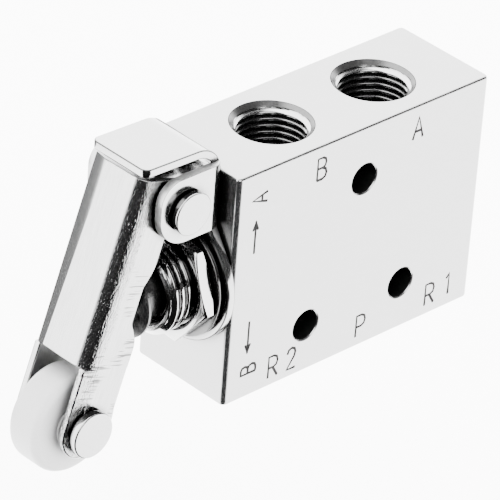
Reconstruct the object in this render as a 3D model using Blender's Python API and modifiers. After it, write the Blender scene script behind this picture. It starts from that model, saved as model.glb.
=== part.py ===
# Roller lever air valve with five ports and a spring return.
# Metres, +Z up. X runs along the valve body, with the lever at the -X end.
# The front face, with the port marks, looks towards -Y.
# The origin is the middle of the body's back face, which is the mounting face.

import math

import bmesh
import bpy
from mathutils import Matrix, Vector

MM = 0.001

# Valve body
BODY_LENGTH = 42.0 * MM
BODY_THICKNESS = 15.5 * MM
BODY_HEIGHT = 32.0 * MM
BODY_EDGE_BREAK = 0.2 * MM
BODY_CORNER_CHAMFER = 0.42 * MM

# Clearances
SEAT_GAP = 0.25 * MM
SLIDE_GAP = 0.25 * MM

# Ports: drilled for a G 1/8 thread, whose turns are left to the finish
PORT_RADIUS = 4.28 * MM
PORT_MOUTH_RADIUS = 5.22 * MM
PORT_MOUTH_DEPTH = 0.9 * MM
PORT_DEPTH_TOP = 8.0 * MM
PORT_DEPTH_BOTTOM = 7.0 * MM
PORT_SPACING_TOP = 17.0 * MM
PORT_SPACING_BOTTOM = 15.2 * MM
PASSAGE_RADIUS = 1.8 * MM

# Mounting holes through the thickness
MOUNT_HOLE_RADIUS = 2.05 * MM
MOUNT_HOLE_BREAK = 0.25 * MM
MOUNT_HOLE_SHIFT = 0.35 * MM
MOUNT_HOLE_PITCH = 16.2 * MM
MOUNT_HOLE_TOP_Z = 8.6 * MM
MOUNT_HOLE_LOW_Z = -9.3 * MM

# Spool bore and what is stacked in it
BORE_RADIUS = 5.5 * MM
SEAL_SECTION = 2.0 * MM
SPOOL_RADIUS = 3.0 * MM
SPOOL_NECK_RADIUS = 2.3 * MM
SPOOL_STROKE = 2.3 * MM
SPOOL_END = 0.7 * MM
SPACER_INNER_RADIUS = 3.6 * MM
SPACER_WAIST_RADIUS = 4.6 * MM
SPACER_WAIST_WIDTH = 2.2 * MM
SPACER_HOLE_RADIUS = 0.9 * MM
END_THREAD_LENGTH = 4.0 * MM

# Return spring inside the spool's far end
SPRING_POCKET_RADIUS = 1.6 * MM
SPRING_POCKET_DEPTH = 9.4 * MM
SPRING_RADIUS = 1.15 * MM
SPRING_WIRE_RADIUS = 0.2 * MM
SPRING_TURNS = 9

# Threaded ends: nose bushing at the lever end, plug at the far end
THREAD_RADIUS = 6.0 * MM
THREAD_CLEARANCE = 0.15 * MM
NOSE_REACH = 7.75 * MM
NOSE_TIP_CHAMFER = 0.7 * MM
PLUNGER_BORE_RADIUS = 4.15 * MM
NOSE_STEP = 2.6 * MM
PLUG_RECESS = 0.2 * MM
PLUG_FLOOR = 1.6 * MM
PLUG_SLOT_WIDTH = 1.2 * MM
PLUG_SLOT_DEPTH = 0.8 * MM

# Plunger
PLUNGER_HEAD_RADIUS = 5.15 * MM
PLUNGER_DOME_RADIUS = 10.0 * MM
PLUNGER_RIM = 0.4 * MM
PLUNGER_STROKE_ROOM = 2.6 * MM
PLUNGER_STEM_LENGTH = 7.9 * MM
PLUNGER_SEAL_SECTION = 1.0 * MM
PLUNGER_SEAL_PLACE = 4.2 * MM

# Bracket, lock washer and nut on the nose
SHEET = 1.1 * MM
PLATE_RADIUS = 8.75 * MM
NECK_HALF_WIDTH = 4.8 * MM
NECK_HEIGHT = 8.6 * MM
EAR_RADIUS = 4.25 * MM
EAR_TOP = 17.7 * MM
EAR_CORNER = 2.9 * MM
EAR_BEND = 1.85 * MM
EAR_HALF_WIDTH = 5.7 * MM
BACK_EAR_WIDTH = 7.3 * MM
CAP_HALF_WIDTH = 4.8 * MM
CAP_TOP = 20.0 * MM
CAP_REACH = 12.25 * MM
CAP_BEND = 3.9 * MM
CAP_TILT = math.radians(1.8)
CAP_CORNER = 0.8 * MM
WASHER_RADIUS = 8.0 * MM
WASHER_THICKNESS = 0.5 * MM
NUT_ACROSS_FLATS = 14.0 * MM
NUT_THICKNESS = 1.8 * MM
NUT_TURN = math.radians(11.0)
NUT_CHAMFER = 0.45 * MM

# Lever, roller and pins
PIVOT_REACH = 6.15 * MM
PIVOT_HEIGHT = 13.15 * MM
LEVER_ANGLE = math.radians(18.4)
LEVER_SHEET = 1.0 * MM
LEVER_BEND = 1.6 * MM
LEVER_WEB_PLACE = 7.8 * MM
LEVER_TOP = 3.3 * MM
LEVER_LOBE_RADIUS = 3.1 * MM
LEVER_WEB_END = 21.2 * MM
LEVER_EDGE_PLACE = 0.8 * MM
LEVER_LOW_EDGE_PLACE = 0.15 * MM
RELIEF_RISE = 0.15 * MM
RELIEF_MARGIN = 0.45 * MM
ROLLER_ALONG = 29.35 * MM
ROLLER_OFFSET = 3.87 * MM
ROLLER_RADIUS = 6.63 * MM
ROLLER_WIDTH = 4.9 * MM
ROLLER_EDGE = 0.95 * MM
FORK_RADIUS = 3.72 * MM
PIN_RADIUS = 1.6 * MM
PIVOT_HEAD_RADIUS = 2.78 * MM
PIVOT_HEAD_HEIGHT = 0.9 * MM
ROLLER_HEAD_RADIUS = 3.02 * MM
ROLLER_HEAD_HEIGHT = 1.1 * MM
PIN_TAIL_RADIUS = 2.3 * MM
PIN_TAIL_HEIGHT = 0.6 * MM
PIN_EDGE = 0.2 * MM
PIVOT_SLEEVE_RADIUS = 2.7 * MM

# Places worked out from the sizes above
MIDDLE_Y = -BODY_THICKNESS / 2
LEVER_END = -BODY_LENGTH / 2
PLUG_END = BODY_LENGTH / 2
SEAL_RADIUS = BORE_RADIUS - SEAT_GAP
STACK_END = BODY_LENGTH / 2 - END_THREAD_LENGTH
CHAMBER_PITCH = (STACK_END - SEAL_SECTION / 2) / 2.5
THREADED_HOLE_RADIUS = THREAD_RADIUS + THREAD_CLEARANCE
THREADED_PIECE_RADIUS = THREAD_RADIUS - THREAD_CLEARANCE
NOSE_TIP = LEVER_END - NOSE_REACH
NOSE_INNER_END = -STACK_END - SEAT_GAP
PLUG_INNER_END = STACK_END + SEAT_GAP
PLUG_OUTER_END = PLUG_END - PLUG_RECESS
PLUNGER_RADIUS = PLUNGER_BORE_RADIUS - SLIDE_GAP
HEAD_BACK = NOSE_TIP - PLUNGER_STROKE_ROOM
PLUNGER_BACK = HEAD_BACK + PLUNGER_STEM_LENGTH
PLATE_BACK = LEVER_END - SEAT_GAP
PLATE_FRONT = PLATE_BACK - SHEET
WASHER_BACK = PLATE_FRONT - SEAT_GAP
NUT_BACK = WASHER_BACK - WASHER_THICKNESS - SEAT_GAP
EAR_INNER = EAR_HALF_WIDTH - SHEET
BACK_EAR_INNER = BACK_EAR_WIDTH - SHEET
LEVER_HALF_WIDTH = EAR_INNER - SLIDE_GAP
LEVER_INNER = LEVER_HALF_WIDTH - LEVER_SHEET
PIVOT = Vector((LEVER_END - PIVOT_REACH, MIDDLE_Y, PIVOT_HEIGHT))
PIN_HOLE_RADIUS = PIN_RADIUS + SLIDE_GAP
RELIEF_PLACE = PIVOT_HEIGHT - RELIEF_RISE
RELIEF_HALF_SPAN = PLUNGER_HEAD_RADIUS + RELIEF_MARGIN
ON_AXIS = (0.0, MIDDLE_Y, 0.0)

ALONG_X = (0.0, math.pi / 2, 0.0)
ALONG_Y = (-math.pi / 2, 0.0, 0.0)
ALONG_Z = (0.0, 0.0, 0.0)
OUTLINE_ACROSS_X = (math.pi / 2, 0.0, math.pi / 2)
OUTLINE_ACROSS_Y = (math.pi / 2, 0.0, 0.0)


def clear_scene():
    for old in list(bpy.data.objects):
        bpy.data.objects.remove(old, do_unlink=True)


def make_collection(name):
    collection = bpy.data.collections.new(name)
    bpy.context.scene.collection.children.link(collection)
    return collection


def make_material(name, colour, roughness, metallic):
    material = bpy.data.materials.new(name)
    material.use_nodes = True
    shader = material.node_tree.nodes["Principled BSDF"]
    shader.inputs["Base Color"].default_value = (*colour, 1.0)
    shader.inputs["Roughness"].default_value = roughness
    shader.inputs["Metallic"].default_value = metallic
    return material


clear_scene()
parts = make_collection("roller_lever_air_valve")
cutters = make_collection("cutters")

nickel = make_material("nickel_plate", (0.74, 0.74, 0.73), 0.18, 1.0)
body_metal = make_material("brushed_body", (0.80, 0.80, 0.79), 0.32, 1.0)
pin_metal = make_material("turned_steel", (0.70, 0.70, 0.70), 0.25, 1.0)
roller_plastic = make_material("white_plastic", (0.86, 0.87, 0.88), 0.45, 0.0)
seal_rubber = make_material("black_rubber", (0.03, 0.03, 0.03), 0.6, 0.0)
spacer_metal = make_material("spacer_metal", (0.66, 0.67, 0.68), 0.4, 1.0)
spring_steel = make_material("spring_steel", (0.45, 0.45, 0.46), 0.3, 1.0)


def place(obj, collection, material=None):
    for owner in list(obj.users_collection):
        owner.objects.unlink(obj)
    collection.objects.link(obj)
    if collection is cutters:
        obj.hide_render = True
        obj.display_type = "WIRE"
    if material:
        obj.data.materials.clear()
        obj.data.materials.append(material)
    return obj


def smooth(obj, angle=35.0):
    obj.data.shade_smooth()
    obj.data.set_sharp_from_angle(angle=math.radians(angle))


def box(name, low, high, collection, material=None):
    """Block between two corners."""
    low = Vector(low)
    high = Vector(high)
    bpy.ops.mesh.primitive_cube_add(size=1.0, location=(low + high) / 2)
    obj = bpy.context.object
    obj.name = name
    obj.data.transform(Matrix.Diagonal((*(high - low), 1.0)))
    return place(obj, collection, material)


def cylinder(name, radius, length, centre, rotation, collection, segments=32):
    bpy.ops.mesh.primitive_cylinder_add(
        vertices=segments, radius=radius, depth=length, location=centre, rotation=rotation
    )
    obj = bpy.context.object
    obj.name = name
    return place(obj, collection)


def turned(name, profile, centre, rotation, segments, collection, material=None, closed=False):
    """Turned piece. The profile's points are (radius, place along the axis).

    They run down the outer side, from the axis's positive end to its negative end.
    """
    mesh = bpy.data.meshes.new(name)
    points = [(radius, 0.0, along) for radius, along in profile]
    edges = [(i, i + 1) for i in range(len(points) - 1)]
    if closed:
        edges.append((len(points) - 1, 0))
    mesh.from_pydata(points, edges, [])
    obj = bpy.data.objects.new(name, mesh)
    obj.location = centre
    obj.rotation_euler = rotation
    screw = obj.modifiers.new("turn", "SCREW")
    screw.steps = segments
    screw.render_steps = segments
    screw.use_merge_vertices = True
    screw.merge_threshold = 1e-6
    place(obj, collection, material)
    return obj


def applied(obj):
    """The object with its modifiers worked into a mesh of its own."""
    graph = bpy.context.evaluated_depsgraph_get()
    mesh = bpy.data.meshes.new_from_object(obj.evaluated_get(graph))
    name = obj.name
    result = bpy.data.objects.new(name, mesh)
    result.matrix_world = obj.matrix_world.copy()
    owner = obj.users_collection[0]
    bpy.data.objects.remove(obj, do_unlink=True)
    result.name = name
    owner.objects.link(result)
    if owner is cutters:
        result.hide_render = True
        result.display_type = "WIRE"
    return result


def plate(name, outline, depth, centre, rotation, collection, material=None):
    """Flat outline given a thickness: a filled 2D curve made into a welded mesh."""
    curve = bpy.data.curves.new(name, "CURVE")
    curve.dimensions = "2D"
    curve.fill_mode = "BOTH"
    curve.extrude = depth / 2
    spline = curve.splines.new("POLY")
    spline.points.add(len(outline) - 1)
    for point, (u, v) in zip(spline.points, outline):
        point.co = (u, v, 0.0, 1.0)
    spline.use_cyclic_u = True
    source = bpy.data.objects.new(name + "_outline", curve)
    source.location = centre
    source.rotation_euler = rotation
    cutters.objects.link(source)
    bpy.context.view_layer.update()
    graph = bpy.context.evaluated_depsgraph_get()
    mesh = bpy.data.meshes.new_from_object(source.evaluated_get(graph))
    weld = bmesh.new()
    weld.from_mesh(mesh)
    bmesh.ops.remove_doubles(weld, verts=weld.verts, dist=1e-6)
    weld.to_mesh(mesh)
    weld.free()
    obj = bpy.data.objects.new(name, mesh)
    obj.matrix_world = source.matrix_world.copy()
    bpy.data.objects.remove(source, do_unlink=True)
    return place(obj, collection, material)


def boolean(target, other, operation):
    step = target.modifiers.new(operation.lower(), "BOOLEAN")
    step.operation = operation
    step.object = other
    step.solver = "EXACT"


def arc(centre, radius, start, end, steps):
    """Points along an arc, angles in degrees, both ends included."""
    points = []
    for i in range(steps + 1):
        angle = math.radians(start + (end - start) * i / steps)
        points.append((centre[0] + radius * math.cos(angle), centre[1] + radius * math.sin(angle)))
    return points


def make_empty(name, location, rotation=(0.0, 0.0, 0.0), parent=None):
    empty = bpy.data.objects.new(name, None)
    empty.empty_display_size = 3.0 * MM
    empty.location = location
    empty.rotation_euler = rotation
    empty.parent = parent
    parts.objects.link(empty)
    bpy.context.view_layer.update()
    return empty


def carry(obj, parent):
    """Parent without moving the piece."""
    bpy.context.view_layer.update()
    world = obj.matrix_world.copy()
    obj.parent = parent
    obj.matrix_parent_inverse = parent.matrix_world.inverted()
    obj.matrix_world = world


def make_body():
    """Block with five ports, three mounting holes and the stepped spool bore."""
    low = (LEVER_END, -BODY_THICKNESS, -BODY_HEIGHT / 2)
    high = (PLUG_END, 0.0, BODY_HEIGHT / 2)
    chamfer = BODY_CORNER_CHAMFER
    plan = [
        (low[0] + chamfer, low[1]),
        (high[0] - chamfer, low[1]),
        (high[0], low[1] + chamfer),
        (high[0], high[1] - chamfer),
        (high[0] - chamfer, high[1]),
        (low[0] + chamfer, high[1]),
        (low[0], high[1] - chamfer),
        (low[0], low[1] + chamfer),
    ]
    body = plate("valve_body", plan, BODY_HEIGHT, (0, 0, 0), ALONG_Z, parts, body_metal)
    edges = body.modifiers.new("edges", "BEVEL")
    edges.width = BODY_EDGE_BREAK
    edges.segments = 1
    edges.limit_method = "ANGLE"
    edges.angle_limit = math.radians(60)

    bore = cylinder("spool_bore_cut", BORE_RADIUS, BODY_LENGTH + 2 * MM, ON_AXIS, ALONG_X, cutters, 36)
    boolean(body, bore, "DIFFERENCE")
    thread_length = PLUG_END - STACK_END
    for side in (-1, 1):
        middle = side * (STACK_END + thread_length / 2 + 0.5 * MM)
        tapped = cylinder("tapped_end_cut", THREADED_HOLE_RADIUS, thread_length + 1.0 * MM,
                          (middle, MIDDLE_Y, 0), ALONG_X, cutters, 36)
        boolean(body, tapped, "DIFFERENCE")

    for sign, places in ((1, top_port_places()), (-1, bottom_port_places())):
        for port_x, passage_x in places:
            boolean(body, port_cutter(port_x, sign), "DIFFERENCE")
            passage = cylinder("passage_cut", PASSAGE_RADIUS, BODY_HEIGHT / 4,
                               (passage_x, MIDDLE_Y, sign * BODY_HEIGHT / 4), ALONG_Z, cutters, 16)
            boolean(body, passage, "DIFFERENCE")

    for hole_x, hole_z in mount_hole_places():
        reach = BODY_THICKNESS / 2
        wide = MOUNT_HOLE_RADIUS + MOUNT_HOLE_BREAK
        profile = [
            (0.0, reach + 1.0 * MM),
            (wide, reach + 1.0 * MM),
            (wide, reach),
            (MOUNT_HOLE_RADIUS, reach - MOUNT_HOLE_BREAK),
            (MOUNT_HOLE_RADIUS, -reach + MOUNT_HOLE_BREAK),
            (wide, -reach),
            (wide, -reach - 1.0 * MM),
            (0.0, -reach - 1.0 * MM),
        ]
        hole = turned("mount_hole_cut", profile, (hole_x, MIDDLE_Y, hole_z), ALONG_Y, 24, cutters)
        boolean(body, hole, "DIFFERENCE")
    return body


def top_port_places():
    """Port and passage places along X: B towards the lever, A away from it."""
    return [(side * PORT_SPACING_TOP / 2, side * CHAMBER_PITCH) for side in (-1, 1)]


def bottom_port_places():
    """Supply in the middle, an exhaust at each side."""
    return [(side * PORT_SPACING_BOTTOM, side * 2 * CHAMBER_PITCH) for side in (-1, 0, 1)]


def mount_hole_places():
    return [
        (MOUNT_HOLE_SHIFT, MOUNT_HOLE_TOP_Z),
        (MOUNT_HOLE_SHIFT - MOUNT_HOLE_PITCH / 2, MOUNT_HOLE_LOW_Z),
        (MOUNT_HOLE_SHIFT + MOUNT_HOLE_PITCH / 2, MOUNT_HOLE_LOW_Z),
    ]


def port_cutter(port_x, sign):
    """Drilled port with a countersunk mouth, opening up or down."""
    depth = PORT_DEPTH_TOP if sign > 0 else PORT_DEPTH_BOTTOM
    profile = [
        (0.0, 1.0 * MM),
        (PORT_MOUTH_RADIUS, 1.0 * MM),
        (PORT_MOUTH_RADIUS, 0.0),
        (PORT_RADIUS, -PORT_MOUTH_DEPTH),
        (PORT_RADIUS, -depth),
        (0.0, -depth),
    ]
    rotation = ALONG_Z if sign > 0 else (math.pi, 0.0, 0.0)
    return turned("port_cut", profile, (port_x, MIDDLE_Y, sign * BODY_HEIGHT / 2), rotation, 40, cutters)


def make_nose():
    """Threaded bushing that guides the plunger and carries bracket and nut."""
    step = LEVER_END + NOSE_STEP - 1.0 * MM
    inner = SPOOL_RADIUS + SLIDE_GAP
    mouth = PLUNGER_BORE_RADIUS + NOSE_TIP_CHAMFER
    profile = [
        (THREADED_PIECE_RADIUS, NOSE_INNER_END),
        (THREADED_PIECE_RADIUS, NOSE_TIP + NOSE_TIP_CHAMFER),
        (THREADED_PIECE_RADIUS - NOSE_TIP_CHAMFER, NOSE_TIP),
        (mouth, NOSE_TIP),
        (PLUNGER_BORE_RADIUS, NOSE_TIP + NOSE_TIP_CHAMFER),
        (PLUNGER_BORE_RADIUS, step),
        (inner, step),
        (inner, NOSE_INNER_END),
    ]
    nose = turned("nose_bushing", profile, ON_AXIS, ALONG_X, 48, parts, nickel, closed=True)
    return nose


def make_plug():
    """Slotted plug that closes the far end and seats the return spring."""
    pocket = SPOOL_RADIUS + SLIDE_GAP
    profile = [
        (0.0, PLUG_OUTER_END),
        (THREADED_PIECE_RADIUS - BODY_EDGE_BREAK, PLUG_OUTER_END),
        (THREADED_PIECE_RADIUS, PLUG_OUTER_END - BODY_EDGE_BREAK),
        (THREADED_PIECE_RADIUS, PLUG_INNER_END),
        (pocket, PLUG_INNER_END),
        (pocket, PLUG_OUTER_END - PLUG_FLOOR),
        (0.0, PLUG_OUTER_END - PLUG_FLOOR),
    ]
    plug = turned("end_plug", profile, ON_AXIS, ALONG_X, 36, parts, nickel)
    slot = box(
        "plug_slot_cut",
        (PLUG_OUTER_END - PLUG_SLOT_DEPTH, MIDDLE_Y - BORE_RADIUS * 2, -PLUG_SLOT_WIDTH / 2),
        (PLUG_OUTER_END + 1.0 * MM, MIDDLE_Y + BORE_RADIUS * 2, PLUG_SLOT_WIDTH / 2),
        cutters,
    )
    boolean(plug, slot, "DIFFERENCE")
    return plug


def make_seals():
    """Six rubber rings between the chambers of the bore."""
    minor = SEAL_SECTION / 2
    for i in range(6):
        bpy.ops.mesh.primitive_torus_add(
            major_segments=24,
            minor_segments=8,
            major_radius=SEAL_RADIUS - minor,
            minor_radius=minor,
            location=((i - 2.5) * CHAMBER_PITCH, MIDDLE_Y, 0),
            rotation=ALONG_X,
        )
        ring = bpy.context.object
        ring.name = "spool_seal_%d" % (i + 1)
        place(ring, parts, seal_rubber)
        smooth(ring, 60)


def make_spacers():
    """Five ported rings that hold the seals apart."""
    half = (CHAMBER_PITCH - SEAL_SECTION) / 2 - SEAT_GAP
    waist = SPACER_WAIST_WIDTH / 2
    profile = [
        (SEAL_RADIUS, half),
        (SEAL_RADIUS, waist),
        (SPACER_WAIST_RADIUS, waist),
        (SPACER_WAIST_RADIUS, -waist),
        (SEAL_RADIUS, -waist),
        (SEAL_RADIUS, -half),
        (SPACER_INNER_RADIUS, -half),
        (SPACER_INNER_RADIUS, half),
    ]
    first = turned("spacer_ring_1", profile, ON_AXIS, ALONG_X, 24, parts, spacer_metal, closed=True)
    for rotation in (ALONG_Y, ALONG_Z):
        drill = cylinder("spacer_hole_cut", SPACER_HOLE_RADIUS, 3 * BORE_RADIUS, ON_AXIS, rotation, cutters, 10)
        boolean(first, drill, "DIFFERENCE")
    bpy.context.view_layer.update()
    first = applied(first)
    smooth(first)
    first.location.x = -2 * CHAMBER_PITCH
    for i in range(1, 5):
        ring = bpy.data.objects.new("spacer_ring_%d" % (i + 1), first.data)
        ring.rotation_euler = first.rotation_euler
        ring.location = ((i - 2) * CHAMBER_PITCH, MIDDLE_Y, 0)
        parts.objects.link(ring)


def make_spool():
    """Spool with three necks. At rest it joins supply to B and A to its exhaust."""
    left = PLUNGER_BACK + SEAT_GAP
    right = 2.5 * CHAMBER_PITCH + SPOOL_END
    seal_half = SEAL_SECTION / 2
    neck_slope = (SPOOL_RADIUS - SPOOL_NECK_RADIUS) / 2
    necks = [
        (1.5 * CHAMBER_PITCH - seal_half, 1.5 * CHAMBER_PITCH + seal_half + SPOOL_STROKE),
        (-0.5 * CHAMBER_PITCH - seal_half, 0.5 * CHAMBER_PITCH - seal_half),
        (-2.5 * CHAMBER_PITCH + seal_half + 0.2 * MM, -1.5 * CHAMBER_PITCH - seal_half),
    ]
    profile = [(SPRING_POCKET_RADIUS, right), (SPOOL_RADIUS - 0.3 * MM, right), (SPOOL_RADIUS, right - 0.3 * MM)]
    for low, high in necks:
        profile += [
            (SPOOL_RADIUS, high),
            (SPOOL_NECK_RADIUS, high - neck_slope),
            (SPOOL_NECK_RADIUS, low + neck_slope),
            (SPOOL_RADIUS, low),
        ]
    profile += [
        (SPOOL_RADIUS, left + 0.3 * MM),
        (SPOOL_RADIUS - 0.3 * MM, left),
        (0.0, left),
    ]
    floor = right - SPRING_POCKET_DEPTH
    profile = [(0.0, floor), (SPRING_POCKET_RADIUS, floor)] + profile
    spool = turned("spool", profile, ON_AXIS, ALONG_X, 28, parts, pin_metal)
    return spool


def make_spring():
    """Coil spring between the spool's pocket and the end plug."""
    start = 2.5 * CHAMBER_PITCH + SPOOL_END - SPRING_POCKET_DEPTH + SEAT_GAP + SPRING_WIRE_RADIUS
    end = PLUG_OUTER_END - PLUG_FLOOR - SEAT_GAP - SPRING_WIRE_RADIUS
    points_per_turn = 12
    total = SPRING_TURNS * points_per_turn
    curve = bpy.data.curves.new("return_spring", "CURVE")
    curve.dimensions = "3D"
    curve.bevel_depth = SPRING_WIRE_RADIUS
    curve.bevel_resolution = 2
    curve.use_fill_caps = True
    spline = curve.splines.new("POLY")
    spline.points.add(total)
    closed_rise = 2.6 * SPRING_WIRE_RADIUS
    open_turns = SPRING_TURNS - 2
    open_rise = (end - start - 2 * closed_rise) / open_turns
    for i, point in enumerate(spline.points):
        turn = i / points_per_turn
        first = min(turn, 1.0) * closed_rise
        middle = min(max(turn - 1.0, 0.0), open_turns) * open_rise
        last = max(turn - 1.0 - open_turns, 0.0) * closed_rise
        angle = 2 * math.pi * turn
        point.co = (
            start + first + middle + last,
            SPRING_RADIUS * math.cos(angle),
            SPRING_RADIUS * math.sin(angle),
            1.0,
        )
    spring = bpy.data.objects.new("return_spring", curve)
    spring.location = (0.0, MIDDLE_Y, 0.0)
    curve.materials.append(spring_steel)
    parts.objects.link(spring)
    return spring


def make_plunger():
    """Plunger with a domed mushroom head, a guide stem and a groove for its seal."""
    rim_front = HEAD_BACK - PLUNGER_RIM
    dome_centre = rim_front + math.sqrt(PLUNGER_DOME_RADIUS ** 2 - PLUNGER_HEAD_RADIUS ** 2)
    seal_x = HEAD_BACK + PLUNGER_SEAL_PLACE
    groove = PLUNGER_SEAL_SECTION / 2 + 0.1 * MM
    groove_floor = PLUNGER_BORE_RADIUS - 0.1 * MM - PLUNGER_SEAL_SECTION - 0.15 * MM
    profile = [
        (0.0, PLUNGER_BACK),
        (PLUNGER_RADIUS - 0.3 * MM, PLUNGER_BACK),
        (PLUNGER_RADIUS, PLUNGER_BACK - 0.3 * MM),
        (PLUNGER_RADIUS, seal_x + groove),
        (groove_floor, seal_x + groove),
        (groove_floor, seal_x - groove),
        (PLUNGER_RADIUS, seal_x - groove),
        (PLUNGER_RADIUS, HEAD_BACK),
        (PLUNGER_HEAD_RADIUS, HEAD_BACK),
        (PLUNGER_HEAD_RADIUS, rim_front),
    ]
    widest = math.asin(PLUNGER_HEAD_RADIUS / PLUNGER_DOME_RADIUS)
    dome_steps = 6
    for i in range(1, dome_steps + 1):
        angle = widest * (1 - i / dome_steps)
        profile.append((PLUNGER_DOME_RADIUS * math.sin(angle), dome_centre - PLUNGER_DOME_RADIUS * math.cos(angle)))
    plunger = turned("plunger", profile, ON_AXIS, ALONG_X, 40, parts, nickel)
    bpy.ops.mesh.primitive_torus_add(
        major_segments=32,
        minor_segments=8,
        major_radius=PLUNGER_BORE_RADIUS - 0.1 * MM - PLUNGER_SEAL_SECTION / 2,
        minor_radius=PLUNGER_SEAL_SECTION / 2,
        location=(seal_x, MIDDLE_Y, 0),
        rotation=ALONG_X,
    )
    seal = bpy.context.object
    seal.name = "plunger_seal"
    place(seal, parts, seal_rubber)
    smooth(seal, 60)
    return plunger, seal


def make_bracket():
    """Formed sheet bracket: round foot under the nut, two ears and a cap over the lever."""
    ear_foot = PIVOT.z - EAR_RADIUS
    bend_inner = EAR_BEND - SHEET
    ear_reach = PIVOT.x - EAR_RADIUS - 1.0 * MM
    cap_centre = (PLATE_BACK - CAP_BEND, CAP_TOP - CAP_BEND)

    # U section seen from above, round the bends, then cut to the ears' outline.
    # The back ear stands further out than the front one.
    side = EAR_HALF_WIDTH - EAR_BEND
    back_side = BACK_EAR_WIDTH - EAR_BEND
    root = PLATE_BACK - EAR_BEND
    section = []
    section += [(ear_reach, BACK_EAR_WIDTH)]
    section += arc((root, back_side), EAR_BEND, 90, 0, 6)
    section += arc((root, -side), EAR_BEND, 0, -90, 6)
    section += [(ear_reach, -EAR_HALF_WIDTH), (ear_reach, -EAR_INNER)]
    section += arc((root, -side), bend_inner, -90, 0, 6)
    section += arc((root, back_side), bend_inner, 0, 90, 6)
    section += [(ear_reach, BACK_EAR_INNER)]
    middle_z = (EAR_TOP + ear_foot) / 2
    channel = plate("bracket", section, EAR_TOP - ear_foot, (0, MIDDLE_Y, middle_z), ALONG_Z, parts, nickel)
    corner = (PIVOT.x - EAR_RADIUS + EAR_CORNER, EAR_TOP - EAR_CORNER)
    rise = math.degrees(math.asin((EAR_TOP - cap_centre[1]) / CAP_BEND))
    ear_outline = arc(corner, EAR_CORNER, 90, 180, 8)
    ear_outline += arc((PIVOT.x, PIVOT.z), EAR_RADIUS, 180, 270, 8)
    ear_outline += [(LEVER_END, ear_foot), (LEVER_END, cap_centre[1])]
    ear_outline += arc(cap_centre, CAP_BEND, 0, rise, 3)
    ears = plate("ear_outline_cut", ear_outline, 4 * BACK_EAR_WIDTH, (0, MIDDLE_Y, 0), OUTLINE_ACROSS_Y, cutters)
    boolean(channel, ears, "INTERSECT")

    # Round foot that tapers up into the ears
    neck_top = ear_foot + 2.0 * MM
    back_neck = back_side + NECK_HALF_WIDTH - side
    foot = [(back_neck, NECK_HEIGHT), (back_neck, neck_top)]
    foot += [(-NECK_HALF_WIDTH, neck_top), (-NECK_HALF_WIDTH, NECK_HEIGHT)]
    first = 180 - foot_tangent(NECK_HALF_WIDTH, NECK_HEIGHT)
    last = 360 + foot_tangent(back_neck, NECK_HEIGHT)
    foot += arc((0, 0), PLATE_RADIUS, first, last, 40)
    foot_plate = plate("bracket_foot_join", foot, SHEET, (PLATE_BACK - SHEET / 2, MIDDLE_Y, 0),
                       OUTLINE_ACROSS_X, cutters)
    boolean(channel, foot_plate, "UNION")

    # Cap: a strip bent forward from the top of the plate, its free end a little higher
    tilt = math.degrees(CAP_TILT)
    inner = CAP_BEND - SHEET
    length = CAP_REACH - CAP_BEND
    lean = (-math.cos(CAP_TILT), math.sin(CAP_TILT))
    across = (math.sin(CAP_TILT), math.cos(CAP_TILT))
    outer_end = [
        cap_centre[0] + across[0] * CAP_BEND + lean[0] * length,
        cap_centre[1] + across[1] * CAP_BEND + lean[1] * length,
    ]
    inner_end = [outer_end[0] - across[0] * SHEET, outer_end[1] - across[1] * SHEET]
    strip = [(PLATE_BACK, EAR_TOP - 3.0 * MM)]
    strip += arc(cap_centre, CAP_BEND, 0, 90 - tilt, 8)
    strip += [tuple(outer_end), tuple(inner_end)]
    strip += arc(cap_centre, inner, 90 - tilt, 0, 8)
    strip += [(PLATE_FRONT, EAR_TOP - 3.0 * MM)]
    cap = plate("bracket_cap_join", strip, 2 * CAP_HALF_WIDTH, (0, MIDDLE_Y, 0), OUTLINE_ACROSS_Y, cutters)
    round_off = plate("cap_corner_cut", cap_plan(), 8 * MM, (0, MIDDLE_Y, CAP_TOP - 1.0 * MM), ALONG_Z, cutters)
    boolean(cap, round_off, "INTERSECT")
    boolean(channel, cap, "UNION")

    nose_hole = cylinder("bracket_nose_cut", THREADED_HOLE_RADIUS, 4 * SHEET,
                         (PLATE_BACK, MIDDLE_Y, 0), ALONG_X, cutters, 48)
    boolean(channel, nose_hole, "DIFFERENCE")
    pin_hole = cylinder("bracket_pin_cut", PIN_HOLE_RADIUS, 4 * BACK_EAR_WIDTH, PIVOT, ALONG_Y, cutters, 28)
    boolean(channel, pin_hole, "DIFFERENCE")
    return channel


def foot_tangent(half_width, height):
    """Angle above the horizontal, in degrees, where the taper touches the round foot."""
    distance = math.hypot(half_width, height)
    return math.degrees(math.atan2(height, half_width) - math.acos(PLATE_RADIUS / distance))


def cap_plan():
    """Plan of the cap with its two free corners rounded."""
    far = PLATE_BACK - CAP_REACH
    near = PLATE_BACK + 1.0 * MM
    corner_x = far + CAP_CORNER
    corner_y = CAP_HALF_WIDTH - CAP_CORNER
    wide = CAP_HALF_WIDTH + 1.0 * MM
    plan = [(near, wide), (corner_x + 2 * CAP_CORNER, wide), (corner_x + 2 * CAP_CORNER, CAP_HALF_WIDTH)]
    plan += arc((corner_x, corner_y), CAP_CORNER, 90, 180, 5)
    plan += arc((corner_x, -corner_y), CAP_CORNER, 180, 270, 5)
    plan += [(corner_x + 2 * CAP_CORNER, -CAP_HALF_WIDTH), (corner_x + 2 * CAP_CORNER, -wide), (near, -wide)]
    return plan


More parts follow.
